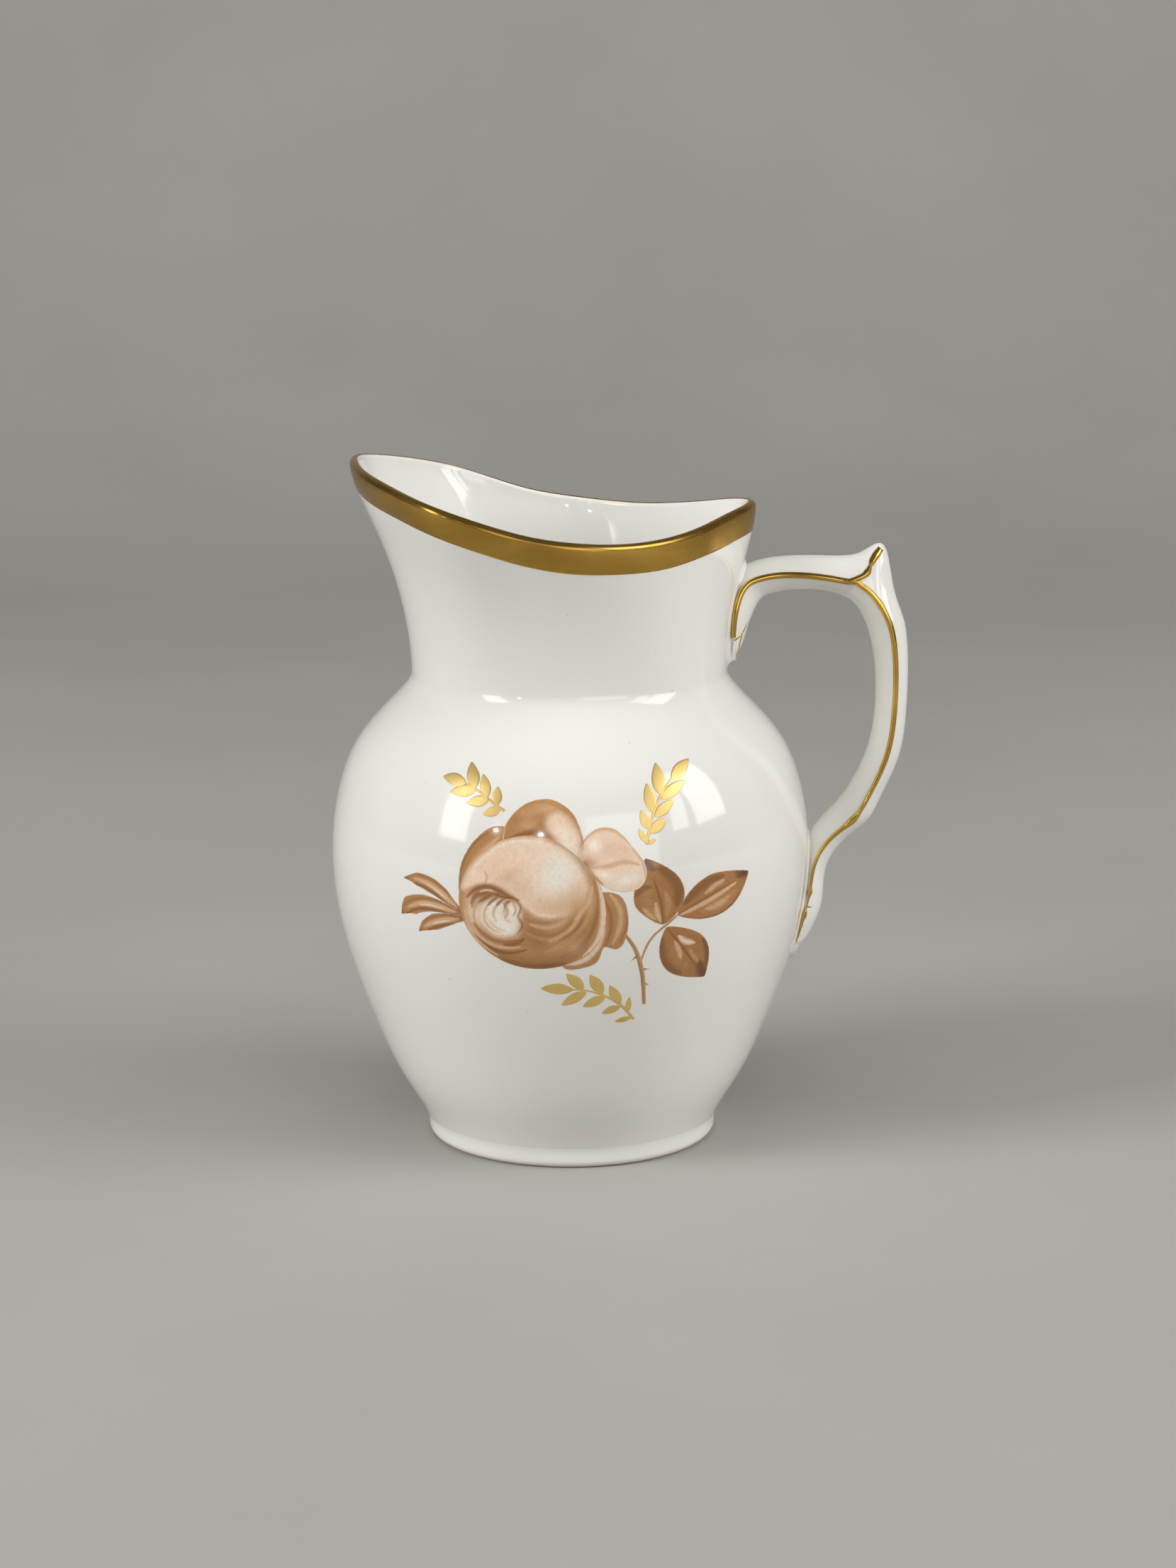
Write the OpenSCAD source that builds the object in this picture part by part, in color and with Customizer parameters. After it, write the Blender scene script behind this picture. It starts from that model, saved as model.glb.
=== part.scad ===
// Porcelain cream jug: round belly on a foot ring, flared neck with a broad poured lip,
// one angular handle with a thumb peak, burnished gold lines and a painted rose spray.
// The axis of the jug is Z, its foot rests on Z = 0, the handle points to +X and the
// spout to -X. The painted side faces -Y.

/* [Body] */
// Widest radius of the belly
belly_r = 40; // [38:0.5:42]
// Height of the widest part of the belly
belly_z = 50; // [47:0.5:53]
// Outer radius of the foot ring
foot_r = 24.3; // [23:0.1:26]
// Height of the foot ring
foot_h = 3.5; // [2.5:0.1:4.5]
// Radius of the narrowest part of the neck
neck_r = 26.3; // [25:0.1:27.5]
// Height of the narrowest part of the neck
neck_z = 79.5; // [78.5:0.1:80.5]
// Thickness of the potted wall
wall = 2.4; // [1.8:0.1:3]

/* [Mouth] */
// Distance from the axis to the tip of the spout
spout_reach = 35.9; // [33:0.1:38]
// Height of the tip of the spout
spout_z = 115; // [111:0.5:118]
// Distance from the axis to the lip over the handle
lip_handle_r = 30.9; // [29:0.1:32]
// Height of the lip over the handle
lip_handle_z = 107.5; // [106:0.5:109]
// Height of the lowest part of the lip
lip_low_z = 104; // [102:0.5:105.5]
// Thickness of the lip
lip_t = 1.6; // [1.2:0.1:2]

/* [Handle] */
// Half of the thickness of the handle along most of its length
handle_half_t = 4; // [3:0.1:5]
// Thickness of the slip that joins the handle to the body
lute_t = 0.25; // [0.15:0.05:0.4]

/* [Gilding and painting] */
// Height of the gold band round the lip
band_h = 4; // [3:0.1:6]
// Width of the gold line along the handle
line_w = 0.95; // [0.5:0.05:1.5]
// Thickness of the gilding
gilding_t = 0.15; // [0.1:0.01:0.25]
// Thickness of the painted enamel
enamel_t = 0.2; // [0.1:0.01:0.3]

/* [Smoothness] */
// Number of facets round the body
around = 64; // [48:8:80]
// Number of rings up the belly
belly_rings = 18; // [14:1:24]

/* [Hidden] */

floor_z = foot_h + 2.6;        // height of the inside of the bottom
neck_rings = 5;                // rings from the neck up to the gold band
band_rings = 3;                // rings from the foot of the gold band up to the lip
station_step = 0.5;            // spacing of the handle's sections, in stations
gap = 0.05;                    // clearance of the handle from the slip under it

// Outside of the belly, as [height, radius], from the foot ring to the neck
belly_profile = [
    [foot_h, foot_r + 0.3],
    [10, 0.71 * belly_r],
    [20, 0.827 * belly_r],
    [32, 0.932 * belly_r],
    [44, 0.994 * belly_r],
    [belly_z, belly_r],
    [56, 0.987 * belly_r],
    [62, 0.953 * belly_r],
    [68, 0.885 * belly_r],
    [72.5, 0.793 * belly_r],
    [76.5, neck_r + 1.6],
    [neck_z, neck_r]
];

// Radius of the lip, as [angle from the handle, radius]
lip_radii = [
    [0, lip_handle_r], [20, lip_handle_r - 2.3], [45, lip_handle_r - 2.9],
    [70, lip_handle_r - 1.5], [90, lip_handle_r + 0.5], [106, spout_reach - 2.7],
    [122, spout_reach + 1.1], [140, spout_reach + 0.7], [160, spout_reach + 0.2],
    [180, spout_reach]
];

// Height of the lip, as [angle from the handle, height]
lip_heights = [
    [0, lip_handle_z], [25, lip_low_z + 2.2], [45, lip_low_z + 0.85], [68, lip_low_z],
    [90, lip_low_z + 0.7], [106, lip_low_z + 2.4], [122, spout_z - 5.3],
    [140, spout_z - 2.7], [160, spout_z - 0.9], [180, spout_z]
];

// Sections of the handle, as [inner x, inner z, outer x, outer z, place of the ridge
// as a share of the way across, half thickness as a share of handle_half_t].
// They run from the upper end down the neck, along the arm, over the thumb peak,
// down the limb and past the knuckle to the lower end.
stations = [
    [27.1, 80.8, 26.2, 81.0, 0.50, 0.35],
    [28.6, 83.0, 25.8, 82.8, 0.56, 0.9],
    [29.6, 86.0, 25.6, 86.4, 0.62, 1.25],
    [30.6, 88.8, 25.9, 90.6, 0.67, 1.35],
    [31.8, 91.0, 27.2, 94.8, 0.65, 1.25],
    [33.6, 92.0, 29.6, 96.9, 0.59, 1.1],
    [36.4, 92.5, 33.8, 98.0, 0.54, 1],
    [40.0, 92.6, 39.6, 98.3, 0.48, 1],
    [43.0, 92.3, 45.0, 98.2, 0.42, 1],
    [44.6, 91.8, 48.4, 98.8, 0.37, 1],
    [45.6, 91.4, 51.0, 100.2, 0.33, 1],
    [46.4, 91.0, 52.7, 98.9, 0.32, 1],
    [47.4, 90.1, 53.7, 94.0, 0.46, 1],
    [48.6, 88.4, 54.8, 90.0, 0.56, 1],
    [50.1, 84.4, 56.1, 85.6, 0.58, 1],
    [51.0, 78.0, 56.5, 78.2, 0.57, 1],
    [50.8, 71.0, 56.2, 70.6, 0.56, 1],
    [49.4, 64.8, 55.0, 63.8, 0.56, 1],
    [46.4, 58.8, 52.3, 57.6, 0.57, 1.02],
    [43.6, 55.4, 50.4, 53.9, 0.58, 1.08],
    [41.4, 53.0, 47.4, 51.2, 0.55, 1.02],
    [39.6, 50.4, 45.0, 48.8, 0.52, 1.02],
    [38.6, 46.8, 43.2, 45.6, 0.48, 1.08],
    [38.0, 42.4, 42.7, 41.8, 0.46, 1.15],
    [37.0, 38.2, 42.1, 37.8, 0.43, 1.15],
    [36.4, 34.6, 40.2, 33.6, 0.45, 1.0],
    [36.0, 32.0, 38.4, 31.2, 0.50, 0.7],
    [36.0, 30.4, 37.3, 30.2, 0.60, 0.3]
];
peak_station = 10;             // the section that runs up to the thumb peak
gold_start = 2;                // the section where the gold line begins
gold_end = 25;                 // the section where the gold line ends

// ---- smooth curves ------------------------------------------------------------

// Index of the piece of a table of [x, y] that holds x
function piece_of(table, x, i = 0) =
    i >= len(table) - 2 || x < table[i + 1][0] ? i : piece_of(table, x, i + 1);

// Slope of the curve through a table at one of its points
function slope_at(table, i) =
    let (before = max(i - 1, 0), after = min(i + 1, len(table) - 1))
    (table[after][1] - table[before][1]) / (table[after][0] - table[before][0]);

// Height of the smooth curve through a table of [x, y] points
function curve(table, x) =
    let (
        i = piece_of(table, x),
        span = table[i + 1][0] - table[i][0],
        t = (x - table[i][0]) / span,
        rise = table[i + 1][1] - table[i][1],
        a = slope_at(table, i) * span,
        b = slope_at(table, i + 1) * span
    )
    table[i][1] + a * t + (3 * rise - 2 * a - b) * t * t + (a + b - 2 * rise) * t * t * t;

// The same for a table that runs from the handle to the spout and mirrors about both
function mirrored_curve(table, x) =
    let (last = len(table) - 1)
    curve(
        concat(
            [[-table[1][0], table[1][1]]],
            table,
            [[360 - table[last - 1][0], table[last - 1][1]]]
        ),
        x
    );

// A value between the rows of a list, smooth from row to row
function between(rows, s) =
    let (
        i = min(floor(s), len(rows) - 2),
        t = s - i,
        p0 = rows[max(i - 1, 0)],
        p1 = rows[i],
        p2 = rows[i + 1],
        p3 = rows[min(i + 2, len(rows) - 1)]
    )
    p1 + 0.5 * t * ((p2 - p0)
        + t * ((2 * p0 - 5 * p1 + 4 * p2 - p3) + t * (3 * p1 - p0 - 3 * p2 + p3)));

// ---- surface of the body -------------------------------------------------------

// Angle from the handle, folded to 0..180
function fold(a) = abs(((a + 180) % 360 + 360) % 360 - 180);

// Lip of the mouth at an angle: its radius and the height of its crest
function lip_r(a) = mirrored_curve(lip_radii, fold(a));
function lip_z(a) = mirrored_curve(lip_heights, fold(a));

// Height where the outside of the wall turns over into the rounded lip
function edge_z(a) = lip_z(a) - lip_t / 2;

// Share of the neck's flare that is reached at a share of its height. The flare
// starts later under the spout than over the handle.
function flare(share, a) =
    let (power = 1.55 - 0.15 * cos(a))
    pow(share, power) * (1 + 1.4 * pow(share, 4) * (1 - share));

// Share of the neck's height at a height
function neck_share(a, z) = min(1, max(0, (z - neck_z) / (edge_z(a) - neck_z)));

// Radius of the outside of the body at an angle and a height
function outer_r(a, z) =
    z <= neck_z
        ? curve(belly_profile, max(z, foot_h))
        : neck_r + (lip_r(a) - neck_r) * flare(neck_share(a, z), a);

// Wall thickness, thinner towards the lip
function wall_at(a, z) = wall + (lip_t - wall) * neck_share(a, z);

// A point at an angle, a radius and a height
function at(a, r, z) = [r * cos(a), r * sin(a), z];

// Height of one of the belly's rings, closer together near the neck
function belly_ring_z(i) =
    foot_h + (neck_z - foot_h) * (1 - pow(1 - i / belly_rings, 1.5));

// Height of one of the neck's rings, up to the foot of the gold band
function neck_ring_z(a, i) =
    neck_z + (edge_z(a) - band_h - neck_z) * i / neck_rings;

// Height of one of the gold band's rings, up to the edge of the lip
function band_ring_z(a, i) = edge_z(a) - band_h * (1 - i / band_rings);

// ---- meshes ---------------------------------------------------------------------

// Triangles of the wall between rings of equal length
function wall_faces(rings, points) = [
    for (i = [0:rings - 2], j = [0:points - 1])
        let (
            a = i * points + j,
            b = i * points + (j + 1) % points,
            c = a + points,
            d = b + points
        )
        each [[a, c, b], [b, c, d]]
];

// A closed solid through rings of points, with a fan over each end
module loft(rings) {
    count = len(rings);
    points = len(rings[0]);
    first = centre_of(rings[0]);
    last = centre_of(rings[count - 1]);
    low = count * points;
    top_row = (count - 1) * points;
    low_fan = [for (j = [0:points - 1]) [low, j, (j + 1) % points]];
    top_fan = [
        for (j = [0:points - 1]) [low + 1, top_row + (j + 1) % points, top_row + j]
    ];
    polyhedron(
        points = concat([for (ring = rings) each ring], [first, last]),
        faces = concat(wall_faces(count, points), low_fan, top_fan)
    );
}

// A closed ring-shaped solid through sections that meet end to end
module hoop(sections) {
    count = len(sections);
    points = len(sections[0]);
    polyhedron(
        points = [for (section = sections) each section],
        faces = [
            for (i = [0:count - 1], j = [0:points - 1])
                let (
                    next = (i + 1) % count,
                    a = i * points + j,
                    b = i * points + (j + 1) % points,
                    c = next * points + j,
                    d = next * points + (j + 1) % points
                )
                each [[a, c, b], [b, c, d]]
        ]
    );
}

function centre_of(ring) = [
    for (axis = [0:2]) sum([for (p = ring) p[axis]]) / len(ring)
];
function sum(values, i = 0) = i == len(values) ? 0 : values[i] + sum(values, i + 1);

// ---- body -----------------------------------------------------------------------

function body_angles() = [for (j = [0:around - 1]) 360 * j / around];

// One ring round the body, from a function of the angle that gives radius and height
function body_ring(place) = [
    for (a = body_angles()) let (p = place(a)) at(a, p[0], p[1])
];

function outer_rings() = concat(
    [for (i = [0:belly_rings]) body_ring(function (a)
        let (z = belly_ring_z(i)) [outer_r(a, z), z])],
    [for (i = [1:neck_rings]) body_ring(function (a)
        let (z = neck_ring_z(a, i)) [outer_r(a, z), z])],
    [for (i = [1:band_rings]) body_ring(function (a)
        let (z = band_ring_z(a, i)) [outer_r(a, z), z])]
);

function crest_ring() = body_ring(function (a) [lip_r(a) - lip_t / 2, lip_z(a)]);

function inner_rings() = concat(
    [for (i = [band_rings:-1:1]) body_ring(function (a)
        let (z = band_ring_z(a, i)) [outer_r(a, z) - wall_at(a, z), z])],
    [for (i = [neck_rings:-1:1]) body_ring(function (a)
        let (z = neck_ring_z(a, i)) [outer_r(a, z) - wall_at(a, z), z])],
    [for (i = [belly_rings:-2:4]) body_ring(function (a)
        let (z = belly_ring_z(i)) [outer_r(a, z) - wall, z])],
    [for (step = [[floor_z + 5, 0.96], [floor_z + 2, 0.86], [floor_z, 0.7]])
        body_ring(function (a) [(outer_r(a, step[0]) - wall) * step[1], step[0]])]
);

module body() {
    color("whitesmoke")
    loft(concat(outer_rings(), [crest_ring()], inner_rings()));
}

module foot_ring() {
    edge = 1.4;                // rounding of the ring's lower outer edge
    flare_out = 0.3;           // how far the ring curves out to meet the belly
    inside_r = foot_r - 3;
    steps = 6;
    color("ivory")
    rotate_extrude($fn = 96)
    union() {
        polygon(concat(
            [
                [foot_r - edge, foot_h], [inside_r, foot_h], [inside_r, 1],
                [inside_r + 0.7, 0], [foot_r - edge, 0], [foot_r - edge, edge]
            ],
            [
                for (i = [0:steps])
                    let (share = i / steps)
                    [foot_r + flare_out * pow(share, 2.4), edge + (foot_h - edge) * share]
            ]
        ));
        intersection() {
            translate([foot_r - edge, edge])
            circle(r = edge, $fn = 48);
            translate([foot_r - edge, 0])
            square([edge, edge]);
        }
    }
}

// ---- handle ---------------------------------------------------------------------

// A point pushed out of the body until it clears the joining slip
function clear_of_body(p) =
    let (
        r = norm([p.x, p.y]),
        least = outer_r(atan2(p.y, p.x), p.z) + lute_t + gap
    )
    r < least ? [p.x * least / r, p.y * least / r, p.z] : p;

// Share of the full thickness at a share of the way across, with an edge at the ridge
function swell(t, ridge) =
    let (off = t < ridge ? (ridge - t) / ridge : (t - ridge) / (1 - ridge))
    sqrt(max(0, 1 - pow(off, 1.15)));

// Half of the gold line's width, as a share of the way across a station
function half_line(row) =
    min(line_w / 2 / norm([row[2] - row[0], row[3] - row[1]]), (1 - row[4]) * 0.35);

// A point of the handle's surface: station, share of the way across, and side (-1 front)
function handle_point(s, t, side) =
    let (row = between(stations, s))
    clear_of_body([
        row[0] + (row[2] - row[0]) * t,
        side * handle_half_t * row[5] * swell(t, row[4]),
        row[1] + (row[3] - row[1]) * t
    ]);

// Shares of the way across where each section has its points, edges left out
function section_shares(row) =
    let (low = row[4] - half_line(row), high = row[4] + half_line(row), rest = 1 - high)
    [
        low * 0.07, low * 0.35, low * 0.72, low,
        high, high + rest * 0.35, high + rest * 0.7, high + rest * 0.94
    ];

function handle_section(s) =
    let (shares = section_shares(between(stations, s)))
    concat(
        [handle_point(s, 0, -1)],
        [for (t = shares) handle_point(s, t, -1)],
        [handle_point(s, 1, -1)],
        [for (i = [len(shares) - 1:-1:0]) handle_point(s, shares[i], 1)]
    );

module handle() {
    color("whitesmoke")
    loft([for (s = [0:station_step:len(stations) - 1]) reversed(handle_section(s))]);
}

// ---- slip that joins the handle to the body ---------------------------------------

// A pad of slip on the body between two heights, as wide as the handle's end on it
module lute(low_z, high_z, half_w) {
    rows = 10;
    columns = 8;
    color("gainsboro")
    loft([
        for (i = [0:rows])
            let (
                share = (i + 0.15) / (rows + 0.3),
                z = low_z + (high_z - low_z) * share,
                w = half_w * sqrt(sin(180 * share)),
                sheet = function (lift) [
                    for (j = [0:columns])
                        let (
                            y = w * (2 * j / columns - 1),
                            a = asin(y / outer_r(0, z)),
                            inside = j > 0 && j < columns ? 1 : 0.2
                        )
                        at(a, outer_r(a, z) + lift * inside, z)
                ]
            )
            concat(sheet(lute_t), [for (p = reversed(sheet(0))) p])
    ]);
}

function reversed(list) = [for (i = [len(list) - 1:-1:0]) list[i]];

module upper_lute() {
    lute(80.2, 97.6, handle_half_t * 1.25 + 0.6);
}

module lower_lute() {
    lute(29.4, 51.2, handle_half_t * 1.15 + 0.6);
}

// ---- gilding ----------------------------------------------------------------------

// Section through the gold band at an angle: down the outside, over the lip, inside
module rim_gilding() {
    color("goldenrod")
    hoop([
        for (a = body_angles())
            let (
                outer = [
                    for (i = [0:band_rings])
                        let (z = band_ring_z(a, i)) [outer_r(a, z), z]
                ],
                crest = [lip_r(a) - lip_t / 2, lip_z(a)],
                z_in = band_ring_z(a, band_rings - 1),
                inner = [
                    [lip_r(a) - lip_t, edge_z(a)],
                    [outer_r(a, z_in) - wall_at(a, z_in), z_in]
                ],
                under = concat(outer, [crest], inner),
                over = concat(
                    [for (p = outer) [p[0] + gilding_t, p[1]]],
                    [[crest[0], crest[1] + gilding_t]],
                    [for (p = inner) [p[0] - gilding_t, p[1]]]
                )
            )
            [for (p = concat(under, reversed(over))) at(a, p[0], p[1])]
    ]);
}

// A strip of gilding on one side of the handle, between two edges that each station
// gives as [share of the way across, share of the way across]
module strip(steps, side, edges) {
    lift = [0, side * gilding_t, 0];
    rings = [
        for (s = steps)
            let (
                shares = edges(s),
                a = handle_point(s, shares[0], side),
                b = handle_point(s, shares[1], side)
            )
            [a, b, b + lift, a + lift]
    ];
    color("goldenrod")
    loft(side < 0 ? rings : [for (ring = rings) reversed(ring)]);
}

module ridge_gilding(side) {
    strip([gold_start:station_step:gold_end], side, function (s)
        let (row = between(stations, s), half = half_line(row))
        [row[4] - half, row[4] + half]);
}

// The branch of the gold line that runs from the ridge up to the thumb peak
module peak_gilding(side) {
    lift = [0, side * gilding_t, 0];
    steps = 6;
    reach = 0.97;              // how far across the handle the branch runs
    ridge = stations[peak_station][4] + half_line(stations[peak_station]);
    rings = [
        for (i = [0:steps])
            let (
                t = ridge + (reach - ridge) * i / steps,
                half = 0.2 + 0.2 * i / steps,
                a = handle_point(peak_station - half, t, side),
                b = handle_point(peak_station + half, t, side),
                seat = [0, side * 0.02, 0]
            )
            [a + seat, b + seat, b + lift, a + lift]
    ];
    color("gold")
    loft(side < 0 ? [for (ring = rings) reversed(ring)] : rings);
}

module handle_gilding_front() {
    ridge_gilding(-1);
}

module handle_gilding_back() {
    ridge_gilding(1);
}

module thumb_gilding_front() {
    peak_gilding(-1);
}

module thumb_gilding_back() {
    peak_gilding(1);
}

// ---- painting ---------------------------------------------------------------------

// A thin skin over the belly
module enamel_skin() {
    heights = [for (i = [2:belly_rings - 2]) belly_ring_z(i)];
    under = [for (z = heights) [outer_r(0, z), z]];
    over = [for (z = heights) [outer_r(0, z) + enamel_t, z]];
    rotate_extrude($fn = 96)
    polygon(concat(under, reversed(over)));
}

// The part of the skin that lies behind an outline drawn on the XZ plane
module painted() {
    intersection() {
        enamel_skin();
        rotate([90, 0, 0])
        linear_extrude(belly_r + 10)
        children();
    }
}

// A closed outline, smooth through the points given
module blob(points) {
    count = len(points);
    steps = 4;
    rows = concat([points[count - 1]], points, [points[0], points[1]]);
    polygon([
        for (i = [0:count - 1], k = [0:steps - 1]) between(rows, 1 + i + k / steps)
    ]);
}

// A pointed leaf from its base to its tip, broadest at a share of its length
module leaf(base, tip, width, broadest = 0.45) {
    way = tip - base;
    steps = 7;
    side = [-way.y, way.x] / norm(way) * width / 2;
    full = function (t) t < broadest
        ? pow(sin(90 * t / broadest), 0.75)
        : pow(sin(90 * (1 - t) / (1 - broadest)), 0.9);
    edge = function (t, s) base + way * t + side * s * full(t);
    polygon(concat(
        [for (i = [0:steps]) edge(i / steps, 1)],
        [for (i = [steps - 1:-1:1]) edge(i / steps, -1)]
    ));
}

// A stalk of even width from one point to another
module stalk(from, to, width) {
    way = to - from;
    side = [-way.y, way.x] / norm(way) * width / 2;
    polygon([from + side, to + side, to - side, from - side]);
}

// A sprig: a bent stalk through some points, and leaves as [base, tip, width]
module sprig(stem, leaves) {
    overlap = 1.04;            // each stretch of the stalk runs a little past its end
    for (i = [0:len(stem) - 2]) {
        stalk(stem[i], stem[i] + (stem[i + 1] - stem[i]) * overlap, 0.45);
    }
    for (row = leaves) {
        leaf(row[0], row[1], row[2]);
    }
}

module bloom_outline() {
    blob([
        [-17.8, 48], [-16.4, 53.5], [-12.4, 57.8], [-7, 59.6], [-2, 59.2], [2.5, 57],
        [5.2, 52.4], [5.5, 47], [3.6, 42.4], [-0.6, 39.3], [-6, 38], [-11.4, 38.9],
        [-15.6, 42.4]
    ]);
}

module top_outline() {
    blob([
        [-10.4, 57.6], [-9.8, 62.2], [-6.6, 64.6], [-2.8, 65], [0.4, 62.9], [2, 59],
        [1.2, 56.6], [-4, 57.8]
    ]);
}

module left_outline() {
    blob([[-17.4, 48.6], [-17.6, 54], [-15, 58.8], [-11, 60.9], [-8.6, 59.2], [-12, 54]]);
}

module right_outline() {
    blob([
        [1.2, 56.6], [3.2, 60.1], [6.4, 60.7], [9.6, 57.9], [12.1, 53.8], [11.4, 51.3],
        [8.8, 50.4], [4.6, 51.6]
    ]);
}

module under_outline() {
    blob([
        [4.6, 50.6], [7.8, 50], [9.1, 46.6], [8.2, 42.6], [6.6, 40.8], [5, 41.4],
        [3.6, 38.6], [-1.2, 38], [-3, 41], [2, 46]
    ]);
}

module rose_bloom() {
    color("rosybrown")
    painted()
    bloom_outline();
}

module rose_petal_top() {
    color("burlywood")
    painted()
    difference() {
        top_outline();
        bloom_outline();
    }
}

module rose_petal_left() {
    color("tan")
    painted()
    difference() {
        left_outline();
        bloom_outline();
        top_outline();
    }
}

module rose_petals_right() {
    color("bisque")
    painted()
    difference() {
        right_outline();
        bloom_outline();
        top_outline();
    }
}

module rose_under_petals() {
    color("peru")
    painted()
    difference() {
        under_outline();
        bloom_outline();
        right_outline();
    }
}

module rose_sepals() {
    color("sienna")
    painted()
    difference() {
        union() {
            blob([
                [-16, 46.4], [-20.4, 50.3], [-24.2, 52], [-26.8, 50.8], [-24, 49.8],
                [-20, 47.6]
            ]);
            blob([
                [-16, 46.2], [-21.5, 48.1], [-25.8, 47.8], [-27.2, 44.6], [-23.4, 45.7],
                [-20, 45.8]
            ]);
            blob([
                [-16, 45.8], [-20.4, 46], [-23.2, 44.6], [-24.4, 42.2], [-20.6, 43.6]
            ]);
        }
        bloom_outline();
    }
}

module rose_stem() {
    stem_w = 0.8;
    color("saddlebrown")
    painted()
    difference() {
        union() {
            stalk([8.2, 44], [10.8, 39.1], stem_w);
            stalk([10.7, 39.6], [11.6, 31], stem_w);
            stalk([11, 38.2], [12.2, 41.8], stem_w * 0.7);
            stalk([12.1, 41.6], [15, 44.4], stem_w * 0.7);
            stalk([14.8, 44.2], [17.2, 46.1], stem_w * 0.7);
            stalk([10.6, 39.5], [9.5, 38.8], stem_w * 0.6);
            stalk([11, 37.4], [12.6, 37.4], stem_w * 0.6);
            stalk([11.3, 34.9], [12.6, 34.7], stem_w * 0.6);
        }
        bloom_outline();
        right_outline();
        under_outline();
        leaf_upper_outline();
        leaf_right_outline();
        leaf_lower_outline();
    }
}

module leaf_upper_outline() {
    leaf([14.6, 44.6], [11.8, 55.6], 8.2, 0.42);
}

module leaf_right_outline() {
    leaf([16.9, 46], [28.6, 51.2], 7, 0.52);
}

module leaf_lower_outline() {
    leaf([15.2, 44.2], [21.4, 34.6], 7.8, 0.5);
}

module leaf_upper() {
    color("sienna")
    painted()
    difference() {
        leaf_upper_outline();
        right_outline();
    }
}

module leaf_right() {
    color("sienna")
    painted()
    leaf_right_outline();
}

module leaf_lower() {
    color("sienna")
    painted()
    leaf_lower_outline();
}

module gold_spray_left() {
    color("gold")
    painted()
    sprig([
        [-10.3, 63], [-11.7, 63.8], [-13.3, 64.9], [-15, 66], [-16.8, 66.8]
    ], [
        [[-16.4, 66.8], [-20.2, 67.3], 1.9], [[-15.1, 66], [-15.6, 69.8], 2.1],
        [[-14.8, 65.9], [-19, 65.2], 1.8], [[-13.1, 64.8], [-13.7, 68.2], 1.8],
        [[-12.8, 64.6], [-16.4, 63.8], 1.7], [[-11.6, 63.7], [-11.4, 66.6], 1.6],
        [[-10.9, 63.3], [-13.8, 62.3], 1.5]
    ]);
}

module gold_spray_right() {
    color("gold")
    painted()
    sprig([
        [12, 57.6], [12.4, 59.7], [13, 62], [14, 64.4], [15.5, 66.6], [17.2, 68.3]
    ], [
        [[12.1, 58], [10.7, 60.2], 1.1], [[12.2, 57.8], [13.5, 58.4], 0.6],
        [[12.5, 60], [11.1, 63], 1.7], [[12.6, 59.4], [15.1, 61.5], 1.8],
        [[13.1, 62.4], [12, 66.9], 1.9], [[13.3, 61.8], [16.4, 64.2], 1.8],
        [[14.3, 65], [13.5, 69.7], 2.1], [[14.3, 64.4], [18.3, 66.8], 1.9],
        [[16, 67], [18.9, 69.7], 2.2]
    ]);
}

module gold_spray_lower() {
    color("darkkhaki")
    painted()
    sprig([
        [10, 28.4], [7.6, 31.5], [4.8, 33.3], [2, 34.2], [-0.8, 34.3]
    ], [
        [[0.4, 34.3], [-4.9, 34.5], 1.9], [[2, 34.4], [-0.8, 37.1], 1.9],
        [[2.4, 33.9], [-1.6, 31.5], 1.7], [[5, 33.4], [3, 36.9], 2],
        [[5.4, 32.9], [1.8, 31.2], 1.6], [[7.8, 31.3], [6.1, 34.9], 1.7],
        [[7.9, 31.1], [4.8, 29.9], 1.3], [[8.9, 29.7], [9.3, 32.6], 1],
        [[9.6, 28.9], [6.9, 28.3], 1]
    ]);
}

body();
foot_ring();
handle();
upper_lute();
lower_lute();
rim_gilding();
handle_gilding_front();
handle_gilding_back();
thumb_gilding_front();
thumb_gilding_back();
rose_bloom();
rose_petal_top();
rose_petal_left();
rose_petals_right();
rose_under_petals();
rose_sepals();
rose_stem();
leaf_upper();
leaf_right();
leaf_lower();
gold_spray_left();
gold_spray_right();
gold_spray_lower();
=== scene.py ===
"""Looks of the porcelain cream jug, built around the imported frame.

Shapes are worked out in millimetres with Z up, the foot on Z = 0, the handle to +X, the spout
to -X and the painted side to -Y, and are turned into metres when a mesh is made.
"""

import math

import bmesh
import bpy
import numpy as np
from mathutils import Matrix, Vector
from mathutils.bvhtree import BVHTree


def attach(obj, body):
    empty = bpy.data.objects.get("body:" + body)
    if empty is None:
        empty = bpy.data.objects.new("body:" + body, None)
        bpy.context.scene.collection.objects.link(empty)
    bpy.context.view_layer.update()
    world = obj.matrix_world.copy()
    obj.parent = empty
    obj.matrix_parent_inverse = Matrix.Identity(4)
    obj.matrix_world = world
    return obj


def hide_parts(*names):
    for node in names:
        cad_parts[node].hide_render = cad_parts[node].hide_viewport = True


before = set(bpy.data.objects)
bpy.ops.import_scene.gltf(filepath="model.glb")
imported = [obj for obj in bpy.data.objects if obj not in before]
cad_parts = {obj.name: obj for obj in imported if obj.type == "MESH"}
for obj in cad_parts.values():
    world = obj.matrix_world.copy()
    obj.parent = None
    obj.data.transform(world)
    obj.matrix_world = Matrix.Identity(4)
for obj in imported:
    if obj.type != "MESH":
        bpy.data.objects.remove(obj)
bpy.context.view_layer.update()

MM = 0.001
BODY = "root"

# ---- driving sizes, the same as in the CAD model --------------------------------------------

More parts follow.
